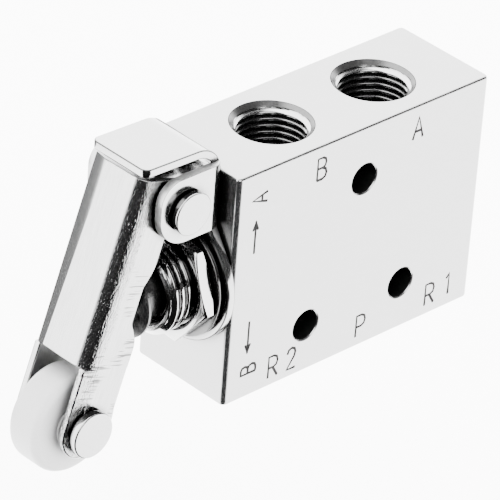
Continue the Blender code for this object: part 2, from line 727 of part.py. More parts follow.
def make_washer():
    profile = [
        (WASHER_RADIUS, WASHER_BACK),
        (WASHER_RADIUS, WASHER_BACK - WASHER_THICKNESS),
        (THREADED_HOLE_RADIUS, WASHER_BACK - WASHER_THICKNESS),
        (THREADED_HOLE_RADIUS, WASHER_BACK),
    ]
    return turned("lock_washer", profile, ON_AXIS, ALONG_X, 48, parts, nickel, closed=True)


def make_nut():
    """Thin hexagon nut with chamfered corners."""
    corner = NUT_ACROSS_FLATS / 2 / math.cos(math.radians(30))
    flat = NUT_ACROSS_FLATS / 2
    front = NUT_BACK - NUT_THICKNESS
    middle = (NUT_BACK - NUT_THICKNESS / 2, MIDDLE_Y, 0)
    nut = cylinder("hex_nut", corner, NUT_THICKNESS, middle, ALONG_X, parts, 6)
    nut.rotation_euler = (NUT_TURN, math.pi / 2, 0)
    nut.data.materials.append(nickel)
    profile = [
        (0.0, NUT_BACK),
        (flat + NUT_CHAMFER, NUT_BACK),
        (corner, NUT_BACK - NUT_CHAMFER / 2),
        (corner, front + NUT_CHAMFER),
        (flat - 0.1 * MM, front),
        (0.0, front),
    ]
    shape = turned("nut_chamfer_cut", profile, ON_AXIS, ALONG_X, 48, cutters)
    boolean(nut, shape, "INTERSECT")
    hole = cylinder("nut_hole_cut", THREADED_HOLE_RADIUS, 3 * NUT_THICKNESS, middle, ALONG_X, cutters, 48)
    boolean(nut, hole, "DIFFERENCE")
    return nut


def lever_outline():
    """Side outline of the lever about its pivot: X across it, Y up along it."""
    web = -LEVER_WEB_PLACE
    fork = (-ROLLER_OFFSET, -ROLLER_ALONG)
    lobe_meet = math.degrees(math.asin(LEVER_EDGE_PLACE / LEVER_LOBE_RADIUS))
    outline = [(web, LEVER_TOP)]
    outline += [(-1.0 * MM, LEVER_TOP)]
    outline += arc((0, 0), LEVER_LOBE_RADIUS, 90, -90 - lobe_meet, 16)
    # Relief in the flanges where they bear on the plunger's head
    relief = lever_relief_depth()
    steps = 12
    for i in range(steps + 1):
        along = RELIEF_PLACE - RELIEF_HALF_SPAN + 2 * RELIEF_HALF_SPAN * i / steps
        share = 0.5 - 0.5 * math.cos(2 * math.pi * i / steps)
        edge = LEVER_EDGE_PLACE if i <= steps / 2 else LEVER_LOW_EDGE_PLACE
        flat = min(1.0, 1.6 * share)
        outline.append((-(edge + (relief - edge) * flat), -along))
    outline += arc(fork, FORK_RADIUS, 0, -180, 20)
    outline += [(-ROLLER_OFFSET - FORK_RADIUS, -LEVER_WEB_END - 0.6 * MM)]
    outline += [(web, -LEVER_WEB_END)]
    return outline


def lever_relief_depth():
    """Distance of the relieved edge from the pivot line, so that it bears on the dome."""
    rim_front = HEAD_BACK - PLUNGER_RIM
    dome_centre = rim_front + math.sqrt(PLUNGER_DOME_RADIUS ** 2 - PLUNGER_HEAD_RADIUS ** 2)
    slice_radius = math.sqrt(PLUNGER_DOME_RADIUS ** 2 - LEVER_INNER ** 2)
    across = (dome_centre - PIVOT.x) * math.cos(LEVER_ANGLE) + PIVOT.z * math.sin(LEVER_ANGLE)
    return slice_radius + SEAT_GAP - across


def make_lever():
    """Channel lever: web outwards, two flanges that end in a fork for the roller."""
    web = -LEVER_WEB_PLACE
    side = LEVER_HALF_WIDTH - LEVER_BEND
    inner_bend = LEVER_BEND - LEVER_SHEET
    bend_x = web + LEVER_BEND
    reach = LEVER_LOBE_RADIUS + 1.0 * MM
    section = []
    section += [(reach, LEVER_HALF_WIDTH)]
    section += arc((bend_x, side), LEVER_BEND, 90, 180, 6)
    section += arc((bend_x, -side), LEVER_BEND, 180, 270, 6)
    section += [(reach, -LEVER_HALF_WIDTH), (reach, -LEVER_INNER)]
    section += arc((bend_x, -side), inner_bend, 270, 180, 6)
    section += arc((bend_x, side), inner_bend, 180, 90, 6)
    section += [(reach, LEVER_INNER)]
    bottom = -ROLLER_ALONG - FORK_RADIUS - 1.0 * MM
    top = LEVER_TOP + 1.0 * MM
    lever = plate("lever", section, top - bottom, (0, 0, (top + bottom) / 2), ALONG_Z, parts, nickel)
    shape = plate("lever_outline_cut", lever_outline(), 4 * LEVER_HALF_WIDTH, (0, 0, 0), OUTLINE_ACROSS_Y, cutters)
    web_room = box(
        "fork_opening_cut",
        (web - 2.0 * MM, -LEVER_INNER, bottom - 1.0 * MM),
        (reach + 1.0 * MM, LEVER_INNER, -LEVER_WEB_END),
        cutters,
    )
    pivot_hole = cylinder("lever_pivot_cut", PIN_HOLE_RADIUS, 4 * LEVER_HALF_WIDTH, (0, 0, 0), ALONG_Y, cutters, 28)
    roller_hole = cylinder("lever_roller_pin_cut", PIN_HOLE_RADIUS, 4 * LEVER_HALF_WIDTH,
                           (-ROLLER_OFFSET, 0, -ROLLER_ALONG), ALONG_Y, cutters, 28)
    turn = Matrix.Translation(PIVOT) @ Matrix.Rotation(LEVER_ANGLE, 4, "Y")
    bpy.context.view_layer.update()
    for obj in (lever, shape, web_room, pivot_hole, roller_hole):
        obj.matrix_world = turn @ obj.matrix_world
    boolean(lever, shape, "INTERSECT")
    for cutter in (web_room, pivot_hole, roller_hole):
        boolean(lever, cutter, "DIFFERENCE")
    return lever


def roller_place():
    turn = Matrix.Rotation(LEVER_ANGLE, 3, "Y")
    return PIVOT + turn @ Vector((-ROLLER_OFFSET, 0.0, -ROLLER_ALONG))


def make_pin(name, centre, front_width, back_width, head_radius, head_height):
    """Pin with a flat head at the front and a riveted tail at the back."""
    front = -front_width - SEAT_GAP
    back = back_width + SEAT_GAP
    profile = [
        (0.0, back + PIN_TAIL_HEIGHT),
        (PIN_TAIL_RADIUS - PIN_EDGE, back + PIN_TAIL_HEIGHT),
        (PIN_TAIL_RADIUS, back + PIN_TAIL_HEIGHT - PIN_EDGE),
        (PIN_TAIL_RADIUS, back),
        (PIN_RADIUS, back),
        (PIN_RADIUS, front),
        (head_radius, front),
        (head_radius, front - head_height + PIN_EDGE),
        (head_radius - PIN_EDGE, front - head_height),
        (0.0, front - head_height),
    ]
    return turned(name, profile, centre, ALONG_Y, 32, parts, pin_metal)


def make_pivot_sleeve():
    """Distance sleeve on the pivot pin between the lever and the back ear."""
    near = LEVER_HALF_WIDTH + SLIDE_GAP
    far = BACK_EAR_INNER - SEAT_GAP
    profile = [
        (PIN_HOLE_RADIUS, far),
        (PIVOT_SLEEVE_RADIUS, far),
        (PIVOT_SLEEVE_RADIUS, near),
        (PIN_HOLE_RADIUS, near),
    ]
    return turned("pivot_sleeve", profile, PIVOT, ALONG_Y, 32, parts, pin_metal, closed=True)


def make_roller(centre):
    """Plastic roller with soft rims and a running bore."""
    half = ROLLER_WIDTH / 2
    bore = PIN_RADIUS + SLIDE_GAP
    hub = bore + 1.2 * MM
    profile = arc((ROLLER_RADIUS - ROLLER_EDGE, half - ROLLER_EDGE), ROLLER_EDGE, 90, 0, 4)
    profile += arc((ROLLER_RADIUS - ROLLER_EDGE, -half + ROLLER_EDGE), ROLLER_EDGE, 0, -90, 4)
    shallow = 0.3 * MM
    profile += [(hub, -half), (hub, -half - shallow), (bore, -half - shallow)]
    profile += [(bore, half + shallow), (hub, half + shallow), (hub, half)]
    return turned("roller", profile, centre, ALONG_Y, 48, parts, roller_plastic, closed=True)


def main():
    make_body()
    make_nose()
    make_plug()
    make_seals()
    make_spacers()
    make_washer()
    make_nut()
    make_bracket()

    slide = make_empty("plunger_axis", (HEAD_BACK, MIDDLE_Y, 0))
    plunger, seal = make_plunger()
    carry(plunger, slide)
    carry(seal, slide)
    spool_slide = make_empty("spool_axis", (0, MIDDLE_Y, 0))
    carry(make_spool(), spool_slide)
    make_spring()

    pivot = make_empty("lever_pivot", PIVOT, (0, LEVER_ANGLE, 0))
    carry(make_lever(), pivot)
    make_pin("pivot_pin", PIVOT, EAR_HALF_WIDTH, BACK_EAR_WIDTH, PIVOT_HEAD_RADIUS, PIVOT_HEAD_HEIGHT)
    make_pivot_sleeve()
    axle = roller_place()
    roller_pin = make_pin("roller_pin", axle, LEVER_HALF_WIDTH, LEVER_HALF_WIDTH,
                          ROLLER_HEAD_RADIUS, ROLLER_HEAD_HEIGHT)
    carry(roller_pin, pivot)
    roller_axis = make_empty("roller_axis", axle)
    carry(roller_axis, pivot)
    carry(make_roller(axle), roller_axis)

    for obj in parts.objects:
        if obj.type == "MESH":
            smooth(obj)


main()
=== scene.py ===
# Roller lever air valve: finish, threads, marks, camera and studio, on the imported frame.
import math

import bmesh
import bpy
from mathutils import Matrix, Vector


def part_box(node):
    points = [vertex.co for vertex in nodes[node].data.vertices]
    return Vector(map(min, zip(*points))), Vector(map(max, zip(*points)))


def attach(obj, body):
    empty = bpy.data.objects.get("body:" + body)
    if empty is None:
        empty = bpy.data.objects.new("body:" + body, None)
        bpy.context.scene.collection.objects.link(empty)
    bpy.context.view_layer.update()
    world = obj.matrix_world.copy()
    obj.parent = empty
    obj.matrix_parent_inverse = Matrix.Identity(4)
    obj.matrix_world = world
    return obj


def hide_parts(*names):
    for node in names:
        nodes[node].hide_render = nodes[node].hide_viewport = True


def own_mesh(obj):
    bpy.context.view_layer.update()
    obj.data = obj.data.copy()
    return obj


mm = 0.001
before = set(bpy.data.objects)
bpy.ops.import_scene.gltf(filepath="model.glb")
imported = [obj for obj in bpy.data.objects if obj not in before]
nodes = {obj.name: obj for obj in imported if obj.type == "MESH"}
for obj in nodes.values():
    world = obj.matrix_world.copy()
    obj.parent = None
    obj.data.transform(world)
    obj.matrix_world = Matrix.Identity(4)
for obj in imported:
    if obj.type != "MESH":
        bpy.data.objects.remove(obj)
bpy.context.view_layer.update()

# The camera stands where the photograph was taken, above a wide pale floor.
view = {
    "place": (-0.37572, -0.36947, 0.31463),
    "right": (0.73032, -0.67993, 0.06572),
    "up": (0.31665, 0.42221, 0.84939),
    "lens": 357.2,
}

studio = {
    "floorHeight": -60,
    "floorSize": 3000,
    "floorColour": 0.97,
    "floorRough": 0.9,
    "light": 12.0,
    "dim": 0.0015,
    "dimEnd": -0.17,
    "lightStart": 0.0,
    "softbox": (-0.42, -0.72, 0.55),
    "softboxStart": 0.90,
    "softboxFull": 0.97,
    "softboxLight": 8.0,
    "flagLift": 1,
    "frontFlag": ((-3000, -6), (-22, -6), (-10, -84), (26, -118), (60, -210), (400, -3000), (-3000, -3000)),
    "frontColour": 0.0015,
    "rearFlag": ((-130, 100), (600, 100), (600, 1100), (-900, 1100)),
    "rearColour": 0.06,
}


def makeCamera():
    right = Vector(view["right"]).normalized()
    up = Vector(view["up"])
    up = (up - up.dot(right) * right).normalized()
    back = right.cross(up)
    lens = bpy.data.cameras.new("photoCamera")
    lens.lens = view["lens"]
    lens.sensor_width = 36
    lens.clip_start = 0.01
    camera = bpy.data.objects.new("photoCamera", lens)
    turn = Matrix((right, up, back)).transposed().to_4x4()
    camera.matrix_world = Matrix.Translation(view["place"]) @ turn
    bpy.context.scene.collection.objects.link(camera)
    bpy.context.scene.camera = camera


def makeWorld():
    # even white light; shiny surfaces see it fade out towards the front
    world = bpy.data.worlds.new("softStudio")
    bpy.context.scene.world = world
    world.use_nodes = True
    tree = world.node_tree
    sky = tree.nodes["Background"]
    sky.inputs["Color"].default_value = (1, 1, 1, 1)
    coord = tree.nodes.new("ShaderNodeTexCoord")
    split = tree.nodes.new("ShaderNodeSeparateXYZ")
    fade = tree.nodes.new("ShaderNodeMapRange")
    fade.interpolation_type = "SMOOTHSTEP"
    fade.inputs["From Min"].default_value = studio["dimEnd"]
    fade.inputs["From Max"].default_value = studio["lightStart"]
    fade.inputs["To Min"].default_value = studio["light"] * studio["dim"]
    fade.inputs["To Max"].default_value = studio["light"]
    path = tree.nodes.new("ShaderNodeLightPath")
    choose = tree.nodes.new("ShaderNodeMix")
    choose.inputs["A"].default_value = studio["light"]
    tree.links.new(coord.outputs["Generated"], split.inputs["Vector"])
    tree.links.new(split.outputs["Y"], fade.inputs["Value"])
    tree.links.new(path.outputs["Is Glossy Ray"], choose.inputs["Factor"])
    # one softbox stands high at the front left
    towards = tree.nodes.new("ShaderNodeVectorMath")
    towards.operation = "DOT_PRODUCT"
    towards.inputs[1].default_value = Vector(studio["softbox"]).normalized()
    box = tree.nodes.new("ShaderNodeMapRange")
    box.interpolation_type = "SMOOTHSTEP"
    box.inputs["From Min"].default_value = studio["softboxStart"]
    box.inputs["From Max"].default_value = studio["softboxFull"]
    box.inputs["To Max"].default_value = studio["softboxLight"]
    both = tree.nodes.new("ShaderNodeMath")
    both.operation = "ADD"
    tree.links.new(coord.outputs["Generated"], towards.inputs[0])
    tree.links.new(towards.outputs["Value"], box.inputs["Value"])
    tree.links.new(box.outputs["Result"], both.inputs[0])
    tree.links.new(fade.outputs["Result"], both.inputs[1])
    tree.links.new(both.outputs["Value"], choose.inputs["B"])
    tree.links.new(choose.outputs["Result"], sky.inputs["Strength"])


def makeSheet(name, corners, height, colour, rough):
    mesh = bpy.data.meshes.new(name)
    verts = [(x * mm, y * mm, height * mm) for x, y in corners]
    mesh.from_pydata(verts, [], [tuple(range(len(corners)))])
    sheet = bpy.data.objects.new(name, mesh)
    bpy.context.scene.collection.objects.link(sheet)
    paint = bpy.data.materials.new(name + "Paint")
    paint.use_nodes = True
    shader = paint.node_tree.nodes["Principled BSDF"]
    shader.inputs["Base Color"].default_value = (colour, colour, colour, 1)
    shader.inputs["Roughness"].default_value = rough
    shader.inputs["Specular IOR Level"].default_value = 0
    mesh.materials.append(paint)
    return sheet


def hideFromView(sheet):
    sheet.visible_camera = False
    sheet.visible_diffuse = False
    sheet.visible_shadow = False


def makeFloor():
    size, height = studio["floorSize"], studio["floorHeight"]
    corners = [(-size, -size), (size, -size), (size, size), (-size, size)]
    makeSheet("paleFloor", corners, height, studio["floorColour"], studio["floorRough"])
    # two dark flags lie on the floor, and only reflections show them
    height += studio["flagLift"]
    hideFromView(makeSheet("blackFlag", studio["frontFlag"], height, studio["frontColour"], 1.0))
    hideFromView(makeSheet("rearFlag", studio["rearFlag"], height, studio["rearColour"], 1.0))


makeCamera()
makeWorld()
makeFloor()
print("camera, light and floor are in")

# The grain is the noise along X, Y and Z, and the reach is how far painted shade creeps out of crevices, in
# millimetres.
finishes = {
    "body": {"colour": 0.30, "rough": 0.24, "shadeReach": 3.0,
             "grain": (60, 1400, 1400), "depth": 0.04, "streak": 0.04},
    # bore is a dark copy of the metal, painted shade for the screw hole walls
    "bore": {"colour": 0.08, "rough": 0.34, "shadeReach": 7.0,
             "grain": (900, 900, 900), "depth": 0.08, "streak": 0.1},
    "port": {"colour": 0.38, "rough": 0.14, "shadeReach": 1.6,
             "grain": (900, 900, 120), "depth": 0.03, "streak": 0.1},
    # cone and deep are dark copies of the port metal, painted shade in the port mouth and deep in the port
    "cone": {"colour": 0.08, "rough": 0.30, "shadeReach": 3.0,
             "grain": (900, 900, 120), "depth": 0.03, "streak": 0.1},
    "deep": {"colour": 0.13, "rough": 0.18, "shadeReach": 7.0,
             "grain": (900, 900, 120), "depth": 0.03, "streak": 0.1},
    "nickel": {"colour": 0.39, "rough": 0.10, "shadeReach": 2.0,
               "grain": (900, 900, 120), "depth": 0.02, "streak": 0.06},
    "sheet": {"colour": 0.315, "rough": 0.13, "shadeReach": 1.2,
              "grain": (1500, 1500, 50), "depth": 0.012, "streak": 0.12},
    "bracket": {"colour": 0.315, "rough": 0.13, "shadeReach": 2.6,
                "grain": (900, 900, 200), "depth": 0.03, "streak": 0.05},
    "edge": {"colour": 0.345, "rough": 0.42, "shadeReach": 0.5,
             "grain": (900, 900, 900), "depth": 0.15, "streak": 0.1},
    # line is a near black copy for the bracket's bevelled rims, a painted dark reflection
    "line": {"colour": 0.035, "rough": 0.30, "shadeReach": 0.5,
             "grain": (900, 900, 900), "depth": 0.05, "streak": 0.2},
    "plunger": {"colour": 0.083, "rough": 0.24, "shadeReach": 2.0,
                "grain": (60, 1500, 1500), "depth": 0.2, "streak": 0.1},
    "fork": {"colour": 0.26, "rough": 0.32, "shadeReach": 0.3,
             "grain": (900, 900, 200), "depth": 0.02, "streak": 0.1},
    "washer": {"colour": 0.098, "rough": 0.16, "shadeReach": 2.0,
               "grain": (900, 900, 900), "depth": 0.03, "streak": 0.1},
    "turned": {"colour": 0.31, "rough": 0.14, "shadeReach": 2.0,
               "grain": (500, 500, 500), "depth": 0.02, "streak": 0.04},
}


def newMaterial(name):
    material = bpy.data.materials.new(name)
    material.use_nodes = True
    return material, material.node_tree, material.node_tree.nodes["Principled BSDF"]


def greyRamp(tree, value, first, firstGrey, last, lastGrey):
    ramp = tree.nodes.new("ShaderNodeValToRGB")
    stops = ramp.color_ramp.elements
    stops[0].position, stops[1].position = first, last
    stops[0].color = (firstGrey, firstGrey, firstGrey, 1)
    stops[1].color = (lastGrey, lastGrey, lastGrey, 1)
    tree.links.new(value, ramp.inputs["Fac"])
    return ramp.outputs["Color"]


# how the painted shade in crevices fades from its dark colour to the open colour
paintedShadeLook = {"samples": 6, "hidden": 0.25, "open": 0.85, "dark": 0.005}


def paintedCreviceShade(tree, colour, reach, dark=paintedShadeLook["dark"]):
    # painted shade: the colour darkens where surfaces face each other closely, in holes, thread roots and
    # gaps
    hidden = tree.nodes.new("ShaderNodeAmbientOcclusion")
    hidden.samples = paintedShadeLook["samples"]
    hidden.inputs["Distance"].default_value = reach * mm
    return greyRamp(tree, hidden.outputs["AO"], paintedShadeLook["hidden"], dark, paintedShadeLook["open"], colour)


metalGrain = {
    "scale": 6,
    "detail": 6,
    "smoothest": 0.75,
    "roughest": 1.3,
    "bumpHeight": 0.2,
    "streakLow": 0.3,
    "streakHigh": 0.7,
}


def metalFinish(name, look):
    material, tree, shader = newMaterial(name)
    shader.inputs["Metallic"].default_value = 1
    coord = tree.nodes.new("ShaderNodeTexCoord")
    stretch = tree.nodes.new("ShaderNodeMapping")
    stretch.inputs["Scale"].default_value = look["grain"]
    grain = tree.nodes.new("ShaderNodeTexNoise")
    grain.inputs["Scale"].default_value = metalGrain["scale"]
    grain.inputs["Detail"].default_value = metalGrain["detail"]
    rough = tree.nodes.new("ShaderNodeMapRange")
    rough.inputs["To Min"].default_value = look["rough"] * metalGrain["smoothest"]
    rough.inputs["To Max"].default_value = look["rough"] * metalGrain["roughest"]
    bump = tree.nodes.new("ShaderNodeBump")
    bump.inputs["Strength"].default_value = look["depth"]
    bump.inputs["Distance"].default_value = metalGrain["bumpHeight"] * mm
    tree.links.new(coord.outputs["Object"], stretch.inputs["Vector"])
    tree.links.new(stretch.outputs["Vector"], grain.inputs["Vector"])
    tree.links.new(grain.outputs["Fac"], rough.inputs["Value"])
    tree.links.new(rough.outputs["Result"], shader.inputs["Roughness"])
    tree.links.new(grain.outputs["Fac"], bump.inputs["Height"])
    tree.links.new(bump.outputs["Normal"], shader.inputs["Normal"])
    # the grain also makes faint lighter and darker streaks
    streak = tree.nodes.new("ShaderNodeMapRange")
    streak.inputs["From Min"].default_value = metalGrain["streakLow"]
    streak.inputs["From Max"].default_value = metalGrain["streakHigh"]
    streak.inputs["To Min"].default_value = 1 - look["streak"]
    streak.inputs["To Max"].default_value = 1 + look["streak"]
    tone = tree.nodes.new("ShaderNodeVectorMath")
    tone.operation = "SCALE"
    tree.links.new(grain.outputs["Fac"], streak.inputs["Value"])
    # the base colour carries painted shade in crevices
    tree.links.new(paintedCreviceShade(tree, look["colour"], look["shadeReach"]), tone.inputs[0])
    tree.links.new(streak.outputs["Result"], tone.inputs["Scale"])
    tree.links.new(tone.outputs["Vector"], shader.inputs["Base Color"])
    return material


def within(tree, value, low, high):
    # rises from 0 at low to 1 at high
    part = tree.nodes.new("ShaderNodeMapRange")
    part.interpolation_type = "SMOOTHSTEP"
    part.inputs["From Min"].default_value = low
    part.inputs["From Max"].default_value = high
    tree.links.new(value, part.inputs["Value"])
    return part.outputs["Result"]


def times(tree, first, second):
    product = tree.nodes.new("ShaderNodeMath")
    product.operation = "MULTIPLY"
    tree.links.new(first, product.inputs[0])
    tree.links.new(second, product.inputs[1])
    return product.outputs["Value"]


def stretchedNoise(tree, coord, scale, detail):
    stretch = tree.nodes.new("ShaderNodeMapping")
    stretch.inputs["Scale"].default_value = scale
    noise = tree.nodes.new("ShaderNodeTexNoise")
    noise.inputs["Scale"].default_value = 1
    noise.inputs["Detail"].default_value = detail
    tree.links.new(coord, stretch.inputs["Vector"])
    tree.links.new(stretch.outputs["Vector"], noise.inputs["Vector"])
    return noise.outputs["Fac"]


wear = {
    "bendStart": -4.0,
    "bendFull": -5.3,
    "sideStart": -3.0,
    "sideFull": -4.1,
    "peel": (5000, 5000, 1600),
    "peelHeight": 0.1,
    "scuff": (350, 350, 5200),
    "scuffFrom": (0.56, 0.66),
    "group": (260, 260, 160),
    "groupFrom": (0.50, 0.60),
    "plateFrom": (-4.2, -4.3),
    "scuffColour": (0.07, 0.07, 0.07, 1),
}


def addWear(material):
    # the lever's near bend is stretched and grainy, and its side plate has groups of short scuffs
    tree = material.node_tree
    shader = tree.nodes["Principled BSDF"]
    coord = tree.nodes.new("ShaderNodeTexCoord").outputs["Object"]
    split = tree.nodes.new("ShaderNodeSeparateXYZ")
    tree.links.new(coord, split.inputs["Vector"])
    inBend = within(tree, split.outputs["X"], wear["bendStart"] * mm, wear["bendFull"] * mm)
    nearSide = within(tree, split.outputs["Y"], wear["sideStart"] * mm, wear["sideFull"] * mm)
    peel = times(tree, stretchedNoise(tree, coord, wear["peel"], 3), times(tree, inBend, nearSide))
    bump = tree.nodes.new("ShaderNodeBump")
    bump.inputs["Distance"].default_value = wear["peelHeight"] * mm
    tree.links.new(peel, bump.inputs["Height"])
    tree.links.new(shader.inputs["Normal"].links[0].from_socket, bump.inputs["Normal"])
    tree.links.new(bump.outputs["Normal"], shader.inputs["Normal"])
    lines = within(tree, stretchedNoise(tree, coord, wear["scuff"], 1), *wear["scuffFrom"])
    groups = within(tree, stretchedNoise(tree, coord, wear["group"], 0), *wear["groupFrom"])
    start, full = wear["plateFrom"]
    onSide = within(tree, split.outputs["Y"], start * mm, full * mm)
    scuffed = tree.nodes.new("ShaderNodeMix")
    scuffed.data_type = "RGBA"
    scuffed.inputs["B"].default_value = wear["scuffColour"]
    tree.links.new(times(tree, times(tree, lines, groups), onSide), scuffed.inputs["Factor"])
    tree.links.new(shader.inputs["Base Color"].links[0].from_socket, scuffed.inputs["A"])
    tree.links.new(scuffed.outputs["Result"], shader.inputs["Base Color"])


plastic = {
    "colour": 0.236,
    "shadeReach": 4.0,
    "dark": 0.045,
    "rough": 0.42,
    "milky": 0.25,
    "milkyReach": 1.2,
    "cloud": 1800,
    "detail": 4,
    "bump": 0.06,
    "bumpHeight": 0.2,
}


def plasticFinish():
    material, tree, shader = newMaterial("milkyPlastic")
    # the plastic's colour carries painted shade where other parts come close
    shade = paintedCreviceShade(tree, plastic["colour"], plastic["shadeReach"], plastic["dark"])
    tree.links.new(shade, shader.inputs["Base Color"])
    shader.inputs["Roughness"].default_value = plastic["rough"]
    shader.inputs["Subsurface Weight"].default_value = plastic["milky"]
    shader.inputs["Subsurface Radius"].default_value = (1, 1, 1)
    shader.inputs["Subsurface Scale"].default_value = plastic["milkyReach"] * mm
    coord = tree.nodes.new("ShaderNodeTexCoord")
    cloud = tree.nodes.new("ShaderNodeTexNoise")
    cloud.inputs["Scale"].default_value = plastic["cloud"]
    cloud.inputs["Detail"].default_value = plastic["detail"]
    bump = tree.nodes.new("ShaderNodeBump")
    bump.inputs["Strength"].default_value = plastic["bump"]
    bump.inputs["Distance"].default_value = plastic["bumpHeight"] * mm
    tree.links.new(coord.outputs["Object"], cloud.inputs["Vector"])
    tree.links.new(cloud.outputs["Fac"], bump.inputs["Height"])
    tree.links.new(bump.outputs["Normal"], shader.inputs["Normal"])
    return material


rubber = {"colour": (0.02, 0.02, 0.02, 1), "cloud": 900, "rough": (0.45, 0.7)}


def rubberFinish():
    material, tree, shader = newMaterial("blackRubber")
    shader.inputs["Base Color"].default_value = rubber["colour"]
    coord = tree.nodes.new("ShaderNodeTexCoord")
    cloud = tree.nodes.new("ShaderNodeTexNoise")
    cloud.inputs["Scale"].default_value = rubber["cloud"]
    rough = tree.nodes.new("ShaderNodeMapRange")
    rough.inputs["To Min"].default_value = rubber["rough"][0]
    rough.inputs["To Max"].default_value = rubber["rough"][1]
    tree.links.new(coord.outputs["Object"], cloud.inputs["Vector"])
    tree.links.new(cloud.outputs["Fac"], rough.inputs["Value"])
    tree.links.new(rough.outputs["Result"], shader.inputs["Roughness"])
    return material


groove = {"rough": 0.7, "specular": 0.05, "cloud": 700, "from": (0.3, 0.004), "to": (0.7, 0.012)}


def engravedFinish():
    material, tree, shader = newMaterial("engravedGroove")
    shader.inputs["Roughness"].default_value = groove["rough"]
    shader.inputs["Specular IOR Level"].default_value = groove["specular"]
    coord = tree.nodes.new("ShaderNodeTexCoord")
    cloud = tree.nodes.new("ShaderNodeTexNoise")
    cloud.inputs["Scale"].default_value = groove["cloud"]
    tree.links.new(coord.outputs["Object"], cloud.inputs["Vector"])
    shade = greyRamp(tree, cloud.outputs["Fac"], *groove["from"], *groove["to"])
    tree.links.new(shade, shader.inputs["Base Color"])
    return material


bodyMetal = metalFinish("brushedBlock", finishes["body"])
holeShadeMetal = metalFinish("drilledBoreShade", finishes["bore"])
portMetal = metalFinish("portThread", finishes["port"])
coneShadeMetal = metalFinish("portConeShade", finishes["cone"])
depthShadeMetal = metalFinish("portDepthShade", finishes["deep"])
nickel = metalFinish("brightNickel", finishes["nickel"])
sheetMetal = metalFinish("leverSheet", finishes["sheet"])
forkMetal = metalFinish("forkInside", finishes["fork"])
addWear(sheetMetal)
bracketMetal = metalFinish("bracketSheet", finishes["bracket"])
turnedSteel = metalFinish("turnedSteel", finishes["turned"])
shearedEdge = metalFinish("shearedEdge", finishes["edge"])
rimDarkReflection = metalFinish("rimDarkReflection", finishes["line"])
hardSteel = metalFinish("hardenedPlunger", finishes["plunger"])
washerSteel = metalFinish("washerSteel", finishes["washer"])
milkyPlastic = plasticFinish()
blackRubber = rubberFinish()
engraved = engravedFinish()
print("finishes are made")


def arcPoints(centre, radius, start, end, steps):
    points = []
    for i in range(steps + 1):
        angle = math.radians(start + (end - start) * i / steps)
        points.append((centre[0] + radius * math.cos(angle), centre[1] + radius * math.sin(angle)))
    return points


def softened(points, radius, steps=4, closed=False):
    # every corner of a profile becomes a small arc
    result = []
    count = len(points)
    for i, here in enumerate(points):
        if not closed and i in (0, count - 1):
            result.append(here)
            continue
        here = Vector(here)
        before = Vector(points[i - 1]) - here
        after = Vector(points[(i + 1) % count]) - here
        reach = min(radius, before.length * 0.45, after.length * 0.45)
        if abs(before.normalized().dot(after.normalized())) > 0.97:
            result.append(tuple(here))
            continue
        start = here + before.normalized() * reach
        end = here + after.normalized() * reach
        for k in range(steps + 1):
            t = k / steps
            point = start * (1 - t) ** 2 + here * 2 * t * (1 - t) + end * t ** 2
            result.append(tuple(point))
    return result


def newPiece(name, verts, faces, smoothAngle=32):
    mesh = bpy.data.meshes.new(name)
    mesh.from_pydata([Vector(v) * mm for v in verts], [], faces)
    tidy = bmesh.new()
    tidy.from_mesh(mesh)
    bmesh.ops.recalc_face_normals(tidy, faces=tidy.faces)
    tidy.to_mesh(mesh)
    tidy.free()
    piece = bpy.data.objects.new(name, mesh)
    bpy.context.scene.collection.objects.link(piece)
    mesh.shade_smooth()
    mesh.set_sharp_from_angle(angle=math.radians(smoothAngle))
    return piece


def onAxis(axis, radius, angle, along, centre):
    a = radius * math.cos(angle)
    b = radius * math.sin(angle)
    spots = {"X": (along, a, b), "Y": (a, along, b), "Z": (a, b, along)}
    return Vector(centre) + Vector(spots[axis])


def turnedPiece(name, profile, centre, axis, steps=96, closed=False):
    # profile points are (radius, place along the axis), in millimetres
    verts = []
    rings = []
    for radius, along in profile:
        count = 1 if radius < 1e-6 else steps
        rings.append([len(verts) + k for k in range(count)])
        for k in range(count):
            verts.append(onAxis(axis, radius, 2 * math.pi * k / steps, along, centre))
    pairs = list(zip(rings, rings[1:]))
    if closed:
        pairs.append((rings[-1], rings[0]))
    faces = []
    for low, high in pairs:
        for k in range(steps):
            after = (k + 1) % steps
            if len(low) == 1 and len(high) == 1:
                continue
            if len(low) == 1:
                faces.append((low[0], high[k], high[after]))
            elif len(high) == 1:
                faces.append((low[k], low[after], high[0]))
            else:
                faces.append((low[k], low[after], high[after], high[k]))
    return newPiece(name, verts, faces)


threadWall = {"rowsPerPitch": 14, "flankEnd": 0.92, "smoothAngle": 60}


def threadedWall(name, look, centre, axis, steps=120):
    # a true helix: the radius swings between crest and root once a pitch
    rows = int(abs(look["end"] - look["start"]) / look["pitch"] * threadWall["rowsPerPitch"])
    verts = []
    for i in range(rows + 1):
        along = look["start"] + (look["end"] - look["start"]) * i / rows
        for k in range(steps):
            phase = (along / look["pitch"] + k / steps) % 1.0
            swing = (abs(2 * phase - 1) - look["flat"]) / (threadWall["flankEnd"] - look["flat"])
            swing = min(1.0, max(0.0, swing))
            radius = look["crest"] + (look["root"] - look["crest"]) * swing
            radius = look["limit"](radius, along)
            verts.append(onAxis(axis, radius, 2 * math.pi * k / steps, along, centre))
    faces = []
    for i in range(rows):
        for k in range(steps):
            after = (k + 1) % steps
            faces.append((i * steps + k, i * steps + after, (i + 1) * steps + after, (i + 1) * steps + k))
    return newPiece(name, verts, faces, threadWall["smoothAngle"])


